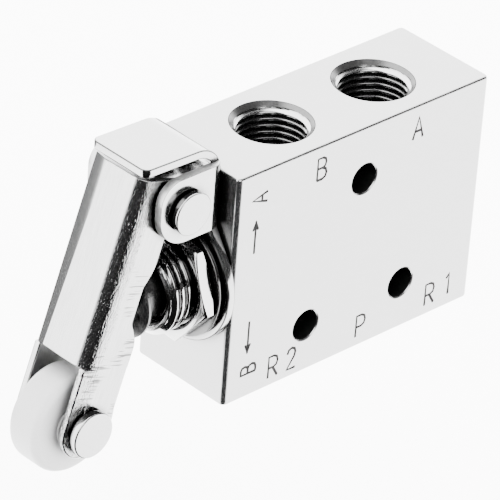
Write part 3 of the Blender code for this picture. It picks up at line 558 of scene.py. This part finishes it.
def prism(name, outline, low, high, plane, slide=(0, 0)):
    spots = {
        "XY": lambda u, v, w: (u, v, w),
        "XZ": lambda u, v, w: (u, w, v),
        "YZ": lambda u, v, w: (w, u, v),
    }
    count = len(outline)
    verts = [spots[plane](u, v, low) for u, v in outline]
    verts += [spots[plane](u + slide[0], v + slide[1], high) for u, v in outline]
    faces = [tuple(range(count)), tuple(range(count, 2 * count))]
    faces += [(i, (i + 1) % count, count + (i + 1) % count, count + i) for i in range(count)]
    return newPiece(name, verts, faces)


def combine(target, other, operation):
    step = target.modifiers.new("shape", "BOOLEAN")
    step.operation = operation
    step.solver = "EXACT"
    step.object = other
    worked(target)
    bpy.data.objects.remove(other, do_unlink=True)


def worked(piece, smoothAngle=32):
    # works the modifiers into the mesh
    bpy.context.view_layer.update()
    graph = bpy.context.evaluated_depsgraph_get()
    mesh = bpy.data.meshes.new_from_object(piece.evaluated_get(graph))
    piece.modifiers.clear()
    old = piece.data
    piece.data = mesh
    bpy.data.meshes.remove(old)
    mesh.shade_smooth()
    mesh.set_sharp_from_angle(angle=math.radians(smoothAngle))


def easeEdges(piece, width, steps=2, angle=40, rim=None):
    tidy = bmesh.new()
    tidy.from_mesh(piece.data)
    bmesh.ops.remove_doubles(tidy, verts=tidy.verts, dist=0.01 * mm)
    bmesh.ops.dissolve_limit(tidy, angle_limit=math.radians(0.6), verts=tidy.verts, edges=tidy.edges)
    tidy.to_mesh(piece.data)
    tidy.free()
    bevel = piece.modifiers.new("ease", "BEVEL")
    bevel.width = width * mm
    bevel.segments = steps
    bevel.limit_method = "ANGLE"
    bevel.angle_limit = math.radians(angle)
    if rim:
        for material in rim:
            piece.data.materials.append(material)
        bevel.material = len(rim) - 1
    worked(piece)


def evenShade(piece):
    weight = piece.modifiers.new("evenShade", "WEIGHTED_NORMAL")
    weight.keep_sharp = True


def secondFinish(piece, chosen):
    # the chosen faces of the plain finish get the second one
    for face in piece.data.polygons:
        if face.material_index == 0 and chosen(face.center / mm, face.normal):
            face.material_index = 1


def finished(piece, material, body, stands=()):
    if piece.data.materials:
        piece.data.materials[0] = material
    else:
        piece.data.materials.append(material)
    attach(piece, body)
    if stands:
        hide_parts(*stands)
    return piece


block = {
    "length": 42.0,
    "thickness": 15.5,
    "height": 32.0,
    "corner": 0.7,
    "edge": 0.38,
    "topPorts": (-8.5, 8.5),
    "lowPorts": (-15.2, 0.0, 15.2),
    "topDepth": 8.0,
    "lowDepth": 7.0,
    "screwHoles": ((0.35, 8.6), (-7.75, -9.3), (8.45, -9.3)),
    "screwHole": 2.05,
    "screwBreak": 0.15,
    "tapped": 6.12,
    "tappedDepth": 3.9,
    "tappedBreak": 0.3,
    "bore": 5.5,
    "passage": 1.8,
}
port = {
    "crest": 4.28,
    "root": 4.86,
    "pitch": 0.907,
    "flat": 0.15,
    "mouth": 5.2,
    "rim": 0.08,
    "coneDepth": 0.6,
    "firstTurn": 1.75,
    "floorGap": 0.05,
}
middle = -block["thickness"] / 2


def inScrewHole(spot, normal):
    if abs(normal.y) > 0.5:
        return False
    reach = block["screwHole"] + 0.1
    return any(math.hypot(spot.x - x, spot.z - z) < reach for x, z in block["screwHoles"])


def portSites():
    # the two upper ports, then the three lower ones
    for side, sign, places, depth in (("Upper", 1, block["topPorts"], block["topDepth"]),
                                      ("Lower", -1, block["lowPorts"], block["lowDepth"])):
        for number, place in enumerate(places):
            yield "portThread%s%d" % (side, number + 1), sign, place, depth


def makeBlock():
    x, y, c = block["length"] / 2, block["thickness"], block["corner"]
    outline = arcPoints((-x + c, c - y), c, 180, 270, 5) + arcPoints((x - c, c - y), c, 270, 360, 5)
    outline += arcPoints((x - c, -c), c, 0, 90, 5) + arcPoints((-x + c, -c), c, 90, 180, 5)
    body = prism("valveBlock", outline, -block["height"] / 2, block["height"] / 2, "XY")
    bevel = body.modifiers.new("rim", "BEVEL")
    bevel.width = block["edge"] * mm
    bevel.segments = 3
    bevel.limit_method = "ANGLE"
    bevel.angle_limit = math.radians(30)
    worked(body)
    reach = block["thickness"] / 2
    r, b = block["screwHole"], block["screwBreak"]
    for holeX, holeZ in block["screwHoles"]:
        profile = [(0, -reach - 1), (r + b + 1, -reach - 1), (r, -reach + b), (r, reach - b),
                   (r + b + 1, reach + 1), (0, reach + 1)]
        combine(body, turnedPiece("drill", profile, (holeX, middle, holeZ), "Y", 64), "DIFFERENCE")
    wide, passage = port["mouth"] + port["rim"], block["passage"]
    for name, sign, portX, depth in portSites():
        top, foot = sign * block["height"] / 2, sign * block["bore"] / 2
        floor = top - sign * depth
        profile = [(0, top + sign), (wide + 1, top + sign), (wide, top), (wide, floor), (passage, floor),
                   (passage, foot), (0, foot)]
        combine(body, turnedPiece("drill", profile, (portX, middle, 0), "Z", 96), "DIFFERENCE")
    # the spool's bore runs from end to end and is tapped at both ends
    end, tapped, bore = block["length"] / 2, block["tapped"], block["bore"]
    inner, lip = end - block["tappedDepth"], end - block["tappedBreak"]
    profile = [(0, -end - 1), (tapped + 0.4, -end - 1), (tapped, -lip), (tapped, -inner), (bore, -inner),
               (bore, inner), (tapped, inner), (tapped, lip), (tapped + 0.4, end + 1), (0, end + 1)]
    combine(body, turnedPiece("drill", profile, (0, middle, 0), "X", 72), "DIFFERENCE")
    body.data.materials.append(bodyMetal)
    # the screw hole walls take the dark bore copy as painted shade
    body.data.materials.append(holeShadeMetal)
    secondFinish(body, inScrewHole)
    evenShade(body)
    finished(body, bodyMetal, "housing", ["valve_body"])


def makePort(name, sign, portX, depth):
    top = sign * block["height"] / 2

    def cone(radius, along):
        below = (top - along) * sign
        return max(radius, port["mouth"] - below)

    look = {**port, "start": top, "end": top - sign * (depth - port["floorGap"]), "limit": cone}
    wall = threadedWall(name, look, (portX, middle, 0), "Z")
    for finish in (portMetal, coneShadeMetal, depthShadeMetal):
        wall.data.materials.append(finish)
    # the mouth is a cone, the first turn is bright and the rest is dark: the cone and the rest get dark
    # copies of the metal as painted shade
    for face in wall.data.polygons:
        below = (top - face.center.z / mm) * sign
        if below < port["coneDepth"]:
            face.material_index = 1
        elif below > port["firstTurn"]:
            face.material_index = 2
    finished(wall, portMetal, "housing")


makeBlock()
for site in portSites():
    makePort(*site)
print("valve body and its port threads are in")

nose = {
    "end": -17.25,
    "tip": -28.75,
    "crest": 6.0,
    "root": 5.42,
    "pitch": 1.0,
    "flat": 0.38,
    "chamfer": 0.7,
    "bore": 4.15,
    "innerBore": 3.25,
    "innerStep": -19.4,
    "mouth": 4.85,
    "mouthDepth": 0.7,
    "soft": 0.12,
    "neckStart": -25.6,
    "neckEnd": -24.9,
}
washer = {"radius": 8.0, "back": -22.6, "thickness": 0.55, "hole": 6.15, "soft": 0.14}
nut = {
    "flats": 14.0,
    "back": -23.35,
    "thickness": 1.85,
    "turn": 11.0,
    "chamfer": 0.45,
    "flatRim": 0.1,
    "hole": 6.1,
    "holeFlare": 1.3,
    "holeBreak": 0.3,
    "ease": 0.07,
}
plunger = {
    "head": 5.15,
    "back": -31.35,
    "rim": 0.4,
    "dome": 10.0,
    "stem": 3.9,
    "stemEnd": -23.45,
    "sealPlace": -27.15,
    "sealHalf": 0.6,
    "sealFloor": 2.9,
    "soft": 0.15,
    "domeSteps": 16,
}


def makeNose():
    def tipCone(radius, along):
        neck = radius
        if nose["neckStart"] < along < nose["neckEnd"]:
            neck = nose["root"]
        return min(neck, nose["crest"] - nose["chamfer"] + (along - nose["tip"]))

    look = {**nose, "start": nose["tip"], "limit": tipCone}
    wall = threadedWall("noseThread", look, (0, middle, 0), "X", 144)
    finished(wall, nickel, "housing")
    start, root = nose["crest"] - nose["chamfer"], nose["root"] - 0.1
    tip, end, step = nose["tip"], nose["end"], nose["innerStep"]
    bore, innerBore = nose["bore"], nose["innerBore"]
    profile = [(start, tip), (nose["mouth"], tip), (bore, tip + nose["mouthDepth"]), (bore, step),
               (innerBore, step), (innerBore, end), (root, end)]
    inside = turnedPiece("noseBore", softened(profile, nose["soft"]), (0, middle, 0), "X")
    finished(inside, nickel, "housing", ["nose_bushing"])


def makeWasher():
    front = washer["back"] - washer["thickness"]
    profile = [(washer["radius"], washer["back"]), (washer["radius"], front), (washer["hole"], front),
               (washer["hole"], washer["back"])]
    profile = softened(profile, washer["soft"], closed=True)
    ring = turnedPiece("lockWasherRing", profile, (0, middle, 0), "X", closed=True)
    finished(ring, washerSteel, "housing", ["lock_washer"])


def makeNut():
    corner = nut["flats"] / 2 / math.cos(math.radians(30))
    back, front, chamfer = nut["back"], nut["back"] - nut["thickness"], nut["chamfer"]
    outline = [(middle + corner * math.cos(math.radians(nut["turn"] + 60 * i)),
                corner * math.sin(math.radians(nut["turn"] + 60 * i))) for i in range(6)]
    body = prism("hexagonNut", outline, front, back, "YZ")
    flat = nut["flats"] / 2 - nut["flatRim"]
    profile = [(0, back), (flat, back), (corner, back - chamfer), (corner, front + chamfer), (flat, front),
               (0, front)]
    combine(body, turnedPiece("drill", profile, (0, middle, 0), "X", 120), "INTERSECT")
    hole, flare, lip = nut["hole"], nut["hole"] + nut["holeFlare"], nut["holeBreak"]
    profile = [(0, back + 1), (flare, back + 1), (hole, back - lip), (hole, front + lip), (flare, front - 1),
               (0, front - 1)]
    combine(body, turnedPiece("drill", profile, (0, middle, 0), "X", 96), "DIFFERENCE")
    easeEdges(body, nut["ease"], 2, 25)
    evenShade(body)
    finished(body, nickel, "housing", ["hex_nut"])


def makePlunger():
    head, back, dome = plunger["head"], plunger["back"], plunger["dome"]
    front = back - plunger["rim"]
    domeCentre = front + math.sqrt(dome ** 2 - head ** 2)
    stem, end, floor = plunger["stem"], plunger["stemEnd"], plunger["sealFloor"]
    place, half = plunger["sealPlace"], plunger["sealHalf"]
    profile = [(0, end), (stem, end), (stem, place + half), (floor, place + half)]
    profile += [(floor, place - half), (stem, place - half), (stem, back), (head, back), (head, front)]
    profile = softened(profile, plunger["soft"])
    widest, steps = math.asin(head / dome), plunger["domeSteps"]
    for i in range(1, steps + 1):
        angle = widest * (1 - i / steps)
        profile.append((dome * math.sin(angle), domeCentre - dome * math.cos(angle)))
    body = turnedPiece("domedPlunger", profile, (0, middle, 0), "X")
    finished(body, hardSteel, "plunger_rod", ["plunger"])


makeNose()
makeWasher()
makeNut()
makePlunger()
print("nose, washer, nut and plunger are in")

bracket = {
    "back": -21.25,
    "sheet": 1.1,
    "foot": 8.75,
    "neck": 4.8,
    "neckHeight": 8.6,
    "hole": 6.15,
    "earHalf": 5.7,
    "earBack": 7.3,
    "earBend": 1.85,
    "earRadius": 4.25,
    "earTop": 17.7,
    "earCorner": 2.9,
    "capHalf": 4.8,
    "capTop": 20.0,
    "capReach": 12.25,
    "capBend": 3.9,
    "capTilt": 1.8,
    "capCorner": 1.0,
    "edge": 0.14,
}
pivot = {"place": (-27.15, middle, 13.15), "hole": 1.85, "head": 2.78, "height": 0.9}


def earSection():
    back, bend, sheet = bracket["back"], bracket["earBend"], bracket["sheet"]
    front, rear = bracket["earHalf"], bracket["earBack"]
    root = back - bend
    reach = pivot["place"][0] - bracket["earRadius"] - 1
    points = [(reach, rear)]
    points += arcPoints((root, rear - bend), bend, 90, 0, 14)
    points += arcPoints((root, bend - front), bend, 0, -90, 14)
    points += [(reach, -front), (reach, sheet - front)]
    points += arcPoints((root, bend - front), bend - sheet, -90, 0, 14)
    points += arcPoints((root, rear - bend), bend - sheet, 0, 90, 14)
    points += [(reach, rear - sheet)]
    return [(x, y + middle) for x, y in points]


def footTangent(halfWidth):
    height = bracket["neckHeight"]
    distance = math.hypot(halfWidth, height)
    return math.degrees(math.atan2(height, halfWidth) - math.acos(bracket["foot"] / distance))


def earPlates():
    pivotX, pivotZ = pivot["place"][0], pivot["place"][2]
    radius, corner = bracket["earRadius"], bracket["earCorner"]
    earTop, earFoot = bracket["earTop"], pivotZ - radius
    outline = arcPoints((pivotX - radius + corner, earTop - corner), corner, 90, 180, 20)
    outline += arcPoints((pivotX, pivotZ), radius, 180, 270, 24)
    outline += [(-21, earFoot), (-21, earTop - 1.6), (bracket["back"] - 0.5, earTop)]
    plates = prism("bentBracket", earSection(), earFoot - 1, earTop + 1, "XY")
    combine(plates, prism("drill", outline, middle - 20, middle + 20, "XZ"), "INTERSECT")
    return plates


def footPlate():
    neck, low, high = bracket["neck"], bracket["neckHeight"], pivot["place"][2] - bracket["earRadius"] + 2
    rearNeck = neck + bracket["earBack"] - bracket["earHalf"]
    outline = [(rearNeck, low), (rearNeck, high), (-neck, high), (-neck, low)]
    outline += arcPoints((0, 0), bracket["foot"], 180 - footTangent(neck), 360 + footTangent(rearNeck), 96)
    outline = [(y + middle, z) for y, z in outline]
    return prism("footPlate", outline, bracket["back"] - bracket["sheet"], bracket["back"], "YZ")


def capPlate():
    back, sheet, bend, tilt = bracket["back"], bracket["sheet"], bracket["capBend"], bracket["capTilt"]
    centre = (back - bend, bracket["capTop"] - bend)
    lean = (-math.cos(math.radians(tilt)), math.sin(math.radians(tilt)))
    across = (math.sin(math.radians(tilt)), math.cos(math.radians(tilt)))
    length = bracket["capReach"] - bend + 1
    outer = tuple(centre[i] + across[i] * bend + lean[i] * length for i in range(2))
    inner = tuple(outer[i] - across[i] * sheet for i in range(2))
    strip = [(back, bracket["earTop"] - 3)] + arcPoints(centre, bend, 0, 90 - tilt, 20) + [outer, inner]
    strip += arcPoints(centre, bend - sheet, 90 - tilt, 0, 20) + [(back - sheet, bracket["earTop"] - 3)]
    half, corner = bracket["capHalf"], bracket["capCorner"]
    cap = prism("capPlate", strip, middle - half - 1, middle + half + 1, "XZ")
    far, near = back - bracket["capReach"], back + 1
    plan = [(near, half)] + arcPoints((far + corner, half - corner), corner, 90, 180, 10)
    plan += arcPoints((far + corner, corner - half), corner, 180, 270, 10) + [(near, -half)]
    plan = [(x, y + middle) for x, y in plan]
    combine(cap, prism("drill", plan, 10, 25, "XY"), "INTERSECT")
    return cap


def makeBracket():
    # each plate is eased before they are joined
    plates, rest = earPlates(), [footPlate(), capPlate()]
    for plate in [plates] + rest:
        # the bevel faces take the last rim finish, a near black painted dark reflection
        easeEdges(plate, bracket["edge"], 2, 40, (bracketMetal, shearedEdge, rimDarkReflection))
    for plate in rest:
        combine(plates, plate, "UNION")
    back = bracket["back"]
    profile = [(0, back + 2), (bracket["hole"], back + 2), (bracket["hole"], back - 3), (0, back - 3)]
    combine(plates, turnedPiece("drill", profile, (0, middle, 0), "X"), "DIFFERENCE")
    profile = [(0, -9), (pivot["hole"], -9), (pivot["hole"], 9), (0, 9)]
    combine(plates, turnedPiece("drill", profile, pivot["place"], "Y", 48), "DIFFERENCE")
    root, earTop = back - bracket["earBend"], bracket["earTop"]

    def onCutEdge(spot, normal):
        return abs(normal.y) < 0.3 and spot.x < root and spot.z < earTop + 0.1

    secondFinish(plates, onCutEdge)
    evenShade(plates)
    finished(plates, bracketMetal, "housing", ["bracket"])


lever = {
    "angle": 18.4,
    "half": 4.35,
    "farHalf": 4.5,
    "sheet": 1.0,
    "bend": 2.1,
    "farBend": 1.3,
    "web": 7.8,
    "top": 3.3,
    "lobe": 3.1,
    "webEnd": 21.2,
    "edge": 0.8,
    "lowEdge": 0.15,
    "relief": 1.754,
    "reliefPlace": 13.0,
    "reliefSpan": 5.6,
    "fork": 3.72,
    "ease": 0.14,
    "forkEase": 0.26,
    "slantLow": 2.9,
    "slantHigh": 1.75,
    "slantAngle": 15.0,
}
roller = {
    "along": 29.35,
    "offset": 3.87,
    "radius": 6.63,
    "width": 4.9,
    "edge": 0.95,
    "hole": 1.85,
    "hub": 3.05,
    "hubRise": 0.3,
    "head": 3.02,
    "height": 1.1,
}


def leverTurn():
    place = Vector(pivot["place"]) * mm
    return Matrix.Translation(place) @ Matrix.Rotation(math.radians(lever["angle"]), 4, "Y")


def leverOutline():
    # seen from the side, down to the end of the web
    web, low = -lever["web"], -lever["webEnd"]
    meet = math.degrees(math.asin(lever["edge"] / lever["lobe"]))
    points = [(web - 1, low), (web - 1, lever["top"]), (-1.0, lever["top"])]
    points += arcPoints((0, 0), lever["lobe"], 90, -90 - meet, 40)
    steps = 36
    for i in range(steps + 1):
        along = lever["reliefPlace"] + lever["reliefSpan"] * (2 * i / steps - 1)
        share = 0.5 - 0.5 * math.cos(2 * math.pi * i / steps)
        edge = lever["edge"] if i <= steps / 2 else lever["lowEdge"]
        points.append((-(edge + (lever["relief"] - edge) * min(1.0, 1.6 * share)), -along))
    return points + [(-lever["lowEdge"], low)]


def forkOutline():
    # the flat side plate goes on below the web and holds the roller
    low, step = -lever["webEnd"], -lever["web"] + lever["bend"] + 0.1
    points = [(step, low), (step, low + 1.5), (-lever["lowEdge"], low + 1.5)]
    points += arcPoints((-roller["offset"], -roller["along"]), lever["fork"], 0, -180, 48)
    return points + [(-roller["offset"] - lever["fork"], low)]


def insideFork(spot, normal):
    # the inner side of the far plate, with a little of the flange above it
    return normal.y < -0.9 and spot.y > 0 and spot.z < 4 - lever["webEnd"]


def makeLever():
    web, sheet, reach = -lever["web"], lever["sheet"], lever["lobe"] + 1
    near, far = lever["half"], lever["farHalf"]
    bend, farBend = lever["bend"], lever["farBend"]
    section = [(reach, far)]
    section += arcPoints((web + farBend, far - farBend), farBend, 90, 180, 14)
    section += arcPoints((web + bend, bend - near), bend, 180, 270, 20)
    section += [(reach, -near), (reach, sheet - near)]
    section += arcPoints((web + bend, bend - near), bend - sheet, 270, 180, 14)
    section += arcPoints((web + farBend, far - farBend), farBend - sheet, 180, 90, 4)
    section += [(reach, far - sheet)]
    body = prism("channelLever", section, -lever["webEnd"] - 1, lever["top"] + 1, "XY")
    combine(body, prism("drill", leverOutline(), -20, 20, "XZ"), "INTERSECT")
    easeEdges(body, lever["ease"], 3, 40)
    # a slant, wider at the top, runs down the far side of the web
    start, wide = lever["slantLow"], 5
    fall = wide * math.tan(math.radians(lever["slantAngle"]))
    wedge = [(web, start), (web + fall, start + wide), (web - 3, start + wide), (web - 3, start)]
    slide = (0, lever["slantHigh"] - start)
    wedge = prism("drill", wedge, -lever["webEnd"] - 1, lever["top"] + 1, "XY", slide)
    combine(body, wedge, "DIFFERENCE")
    for low, high in ((-near, sheet - near), (far - sheet, far)):
        plate = prism("forkPlate", forkOutline(), low, high, "XZ")
        easeEdges(plate, lever["forkEase"], 3, 40)
        combine(body, plate, "UNION")
    for place in ((0, 0, 0), (-roller["offset"], 0, -roller["along"])):
        profile = [(0, -9), (pivot["hole"], -9), (pivot["hole"], 9), (0, 9)]
        combine(body, turnedPiece("drill", profile, place, "Y", 48), "DIFFERENCE")
    body.data.materials.append(sheetMetal)
    body.data.materials.append(forkMetal)
    secondFinish(body, insideFork)
    evenShade(body)
    body.matrix_world = leverTurn()
    finished(body, sheetMetal, "lever_arm", ["lever"])


pin = {"radius": 1.6, "endRadius": 2.3, "endHeight": 0.6, "gap": 0.25, "soft": 0.22}
sleeve = {"radius": 2.7, "gap": 0.25, "soft": 0.15}


def makePin(name, place, front, back, head, height, body, node):
    front, back = front + pin["gap"], back + pin["gap"]
    radius, endRadius, end = pin["radius"], pin["endRadius"], back + pin["endHeight"]
    profile = [(0, end), (endRadius, end), (endRadius, back), (radius, back), (radius, -front)]
    profile += [(head, -front), (head, -front - height), (0, -front - height)]
    rivet = turnedPiece(name, softened(profile, pin["soft"], 5), place, "Y")
    finished(rivet, turnedSteel, body, [node])


def makeSleeve():
    near, far = lever["half"] + sleeve["gap"], bracket["earBack"] - bracket["sheet"] - sleeve["gap"]
    hole, radius = pivot["hole"], sleeve["radius"]
    profile = [(hole, far), (radius, far), (radius, near), (hole, near)]
    profile = softened(profile, sleeve["soft"], closed=True)
    tube = turnedPiece("pivotSleeve", profile, pivot["place"], "Y", closed=True)
    finished(tube, turnedSteel, "housing", ["pivot_sleeve"])


def rollerPlace():
    spot = leverTurn() @ (Vector((-roller["offset"], 0, -roller["along"])) * mm)
    return spot / mm


def makeRoller():
    half, edge, big = roller["width"] / 2, roller["edge"], roller["radius"]
    rise, hub, hole = roller["hubRise"], roller["hub"], roller["hole"]
    profile = arcPoints((big - edge, half - edge), edge, 90, 0, 12)
    profile += arcPoints((big - edge, edge - half), edge, 0, -90, 12)
    profile += [(hub, -half), (hub, -half - rise), (hole, -half - rise)]
    profile += [(hole, half + rise), (hub, half + rise), (hub, half)]
    wheel = turnedPiece("rollerWheel", profile, rollerPlace(), "Y", 128, closed=True)
    finished(wheel, milkyPlastic, "roller_wheel", ["roller"])


makeBracket()
makeLever()
makePin("pivotRivet", pivot["place"], bracket["earHalf"], bracket["earBack"], pivot["head"], pivot["height"],
        "housing", "pivot_pin")
makeSleeve()
makePin("rollerRivet", rollerPlace(), lever["half"], lever["half"], roller["head"], roller["height"],
        "lever_arm", "roller_pin")
makeRoller()
print("bracket, lever, pins and roller are in")

# The places give the mark, its x and z, its turn in degrees and its size.
marks = {
    "stroke": 0.31,
    "sink": 0.24,
    "tall": 3.0,
    "slim": 0.8,
    "places": (
        ("A", 9.07, 12.77, 0, 1.0),
        ("B", -7.2, 12.77, 0, 1.0),
        ("R", 13.94, -12.98, 0, 1.0),
        ("1", 17.18, -12.73, 0, 1.0),
        ("P", 1.92, -13.0, 0, 1.0),
        ("R", -12.9, -13.2, 0, 1.0),
        ("2", -9.8, -13.26, 0, 1.0),
        ("A", -17.3, 12.2, 90, 0.8),
        ("B", -17.1, -12.0, 90, 0.8),
        ("up", -17.65, 6.94, 0, 0.75),
        ("down", -17.5, -7.27, 0, 0.75),
    ),
}

# Each mark is a list of pen lines in a box one unit high.
roundTop = [(-0.3, -0.5), (-0.3, 0.5), (0.05, 0.5), (0.25, 0.42), (0.32, 0.23), (0.25, 0.04), (0.05, -0.04),
            (-0.3, -0.04)]
strokes = {
    "A": [[(-0.35, -0.5), (0, 0.5), (0.35, -0.5)], [(-0.22, -0.15), (0.22, -0.15)]],
    "B": [[(-0.3, -0.5), (-0.3, 0.5), (0.05, 0.5), (0.22, 0.42), (0.27, 0.26), (0.22, 0.1), (0.05, 0.03),
           (-0.3, 0.03)],
          [(0.05, 0.03), (0.26, -0.06), (0.33, -0.24), (0.26, -0.42), (0.05, -0.5), (-0.3, -0.5)]],
    "P": [roundTop],
    "R": [roundTop, [(0.0, -0.04), (0.34, -0.5)]],
    "1": [[(-0.15, 0.3), (0.05, 0.5), (0.05, -0.5)]],
    "2": [[(-0.28, 0.25), (-0.2, 0.43), (0, 0.5), (0.2, 0.43), (0.27, 0.25), (0.2, 0.05), (-0.28, -0.5),
           (0.3, -0.5)]],
    "up": [[(0, -1.0), (0, 1.0)], [(-0.22, 0.45), (0, 1.0), (0.22, 0.45)]],
    "down": [[(0, 1.0), (0, -1.0)], [(-0.22, -0.45), (0, -1.0), (0.22, -0.45)]],
}


def makeMarks():
    curve = bpy.data.curves.new("portMarks", "CURVE")
    curve.dimensions = "3D"
    curve.bevel_depth = marks["stroke"] * mm
    curve.bevel_resolution = 3
    curve.use_fill_caps = True
    depth = -block["thickness"] + marks["sink"]
    for name, x, z, turn, size in marks["places"]:
        c, s = math.cos(math.radians(turn)), math.sin(math.radians(turn))
        for line in strokes[name]:
            spline = curve.splines.new("POLY")
            spline.points.add(len(line) - 1)
            for point, (u, v) in zip(spline.points, line):
                u, v = u * marks["tall"] * marks["slim"] * size, v * marks["tall"] * size
                point.co = ((x + u * c - v * s) * mm, depth * mm, (z + u * s + v * c) * mm, 1)
    piece = bpy.data.objects.new("portMarks", curve)
    bpy.context.scene.collection.objects.link(piece)
    curve.materials.append(engraved)
    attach(piece, "housing")


makeMarks()
print("engraved marks are in")

spring = {
    "radius": 1.15,
    "wire": 0.2,
    "turns": 9,
    "flatTurns": 0.75,
    "flatRise": 0.05,
    "sides": 8,
    "stepsPerTurn": 24,
    "stroke": 2.31,
    "end": 18.95,
}


def makeSpring():
    # the coil spans the frame's return spring, which the spool squashes towards the end plug
    lowest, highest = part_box("return_spring")
    low, high = lowest[0] / mm + spring["wire"], highest[0] / mm - spring["wire"]
    sides, steps = spring["sides"], spring["turns"] * spring["stepsPerTurn"]
    verts = []
    for i in range(steps + 1):
        along = i / spring["stepsPerTurn"]
        # the first and last turns lie flat
        rise = (along - spring["flatTurns"]) / (spring["turns"] - 2 * spring["flatTurns"])
        rise = min(1.0, max(0.0, rise))
        turn = 2 * math.pi * along
        for k in range(sides):
            angle = 2 * math.pi * k / sides
            radius = spring["radius"] + spring["wire"] * math.cos(angle)
            x = low + (high - low) * rise + spring["wire"] * math.sin(angle)
            if rise in (0.0, 1.0):
                x += (along % 1.0 - 0.5) * spring["flatRise"]
            verts.append((x, middle + radius * math.cos(turn), radius * math.sin(turn)))
    faces = [tuple(range(sides)), tuple(steps * sides + k for k in range(sides))]
    for i in range(steps):
        for k in range(sides):
            after = (k + 1) % sides
            faces.append((i * sides + k, i * sides + after, (i + 1) * sides + after, (i + 1) * sides + k))
    coil = newPiece("returnSpring", verts, faces)
    finished(coil, turnedSteel, "housing", ["return_spring"])
    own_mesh(coil)


makeSpring()
print("return spring is in")

# The inner pieces and the end plug stay as the frame has them.
innerFinish = {
    "end_plug": nickel,
    "spool": turnedSteel,
    "plunger_seal": blackRubber,
}
for name, node in nodes.items():
    finish = innerFinish.get(name)
    if name.startswith("spool_seal"):
        finish = blackRubber
    if name.startswith("spacer_ring"):
        finish = turnedSteel
    if finish:
        node.data.materials.clear()
        node.data.materials.append(finish)
print("inner pieces are finished")
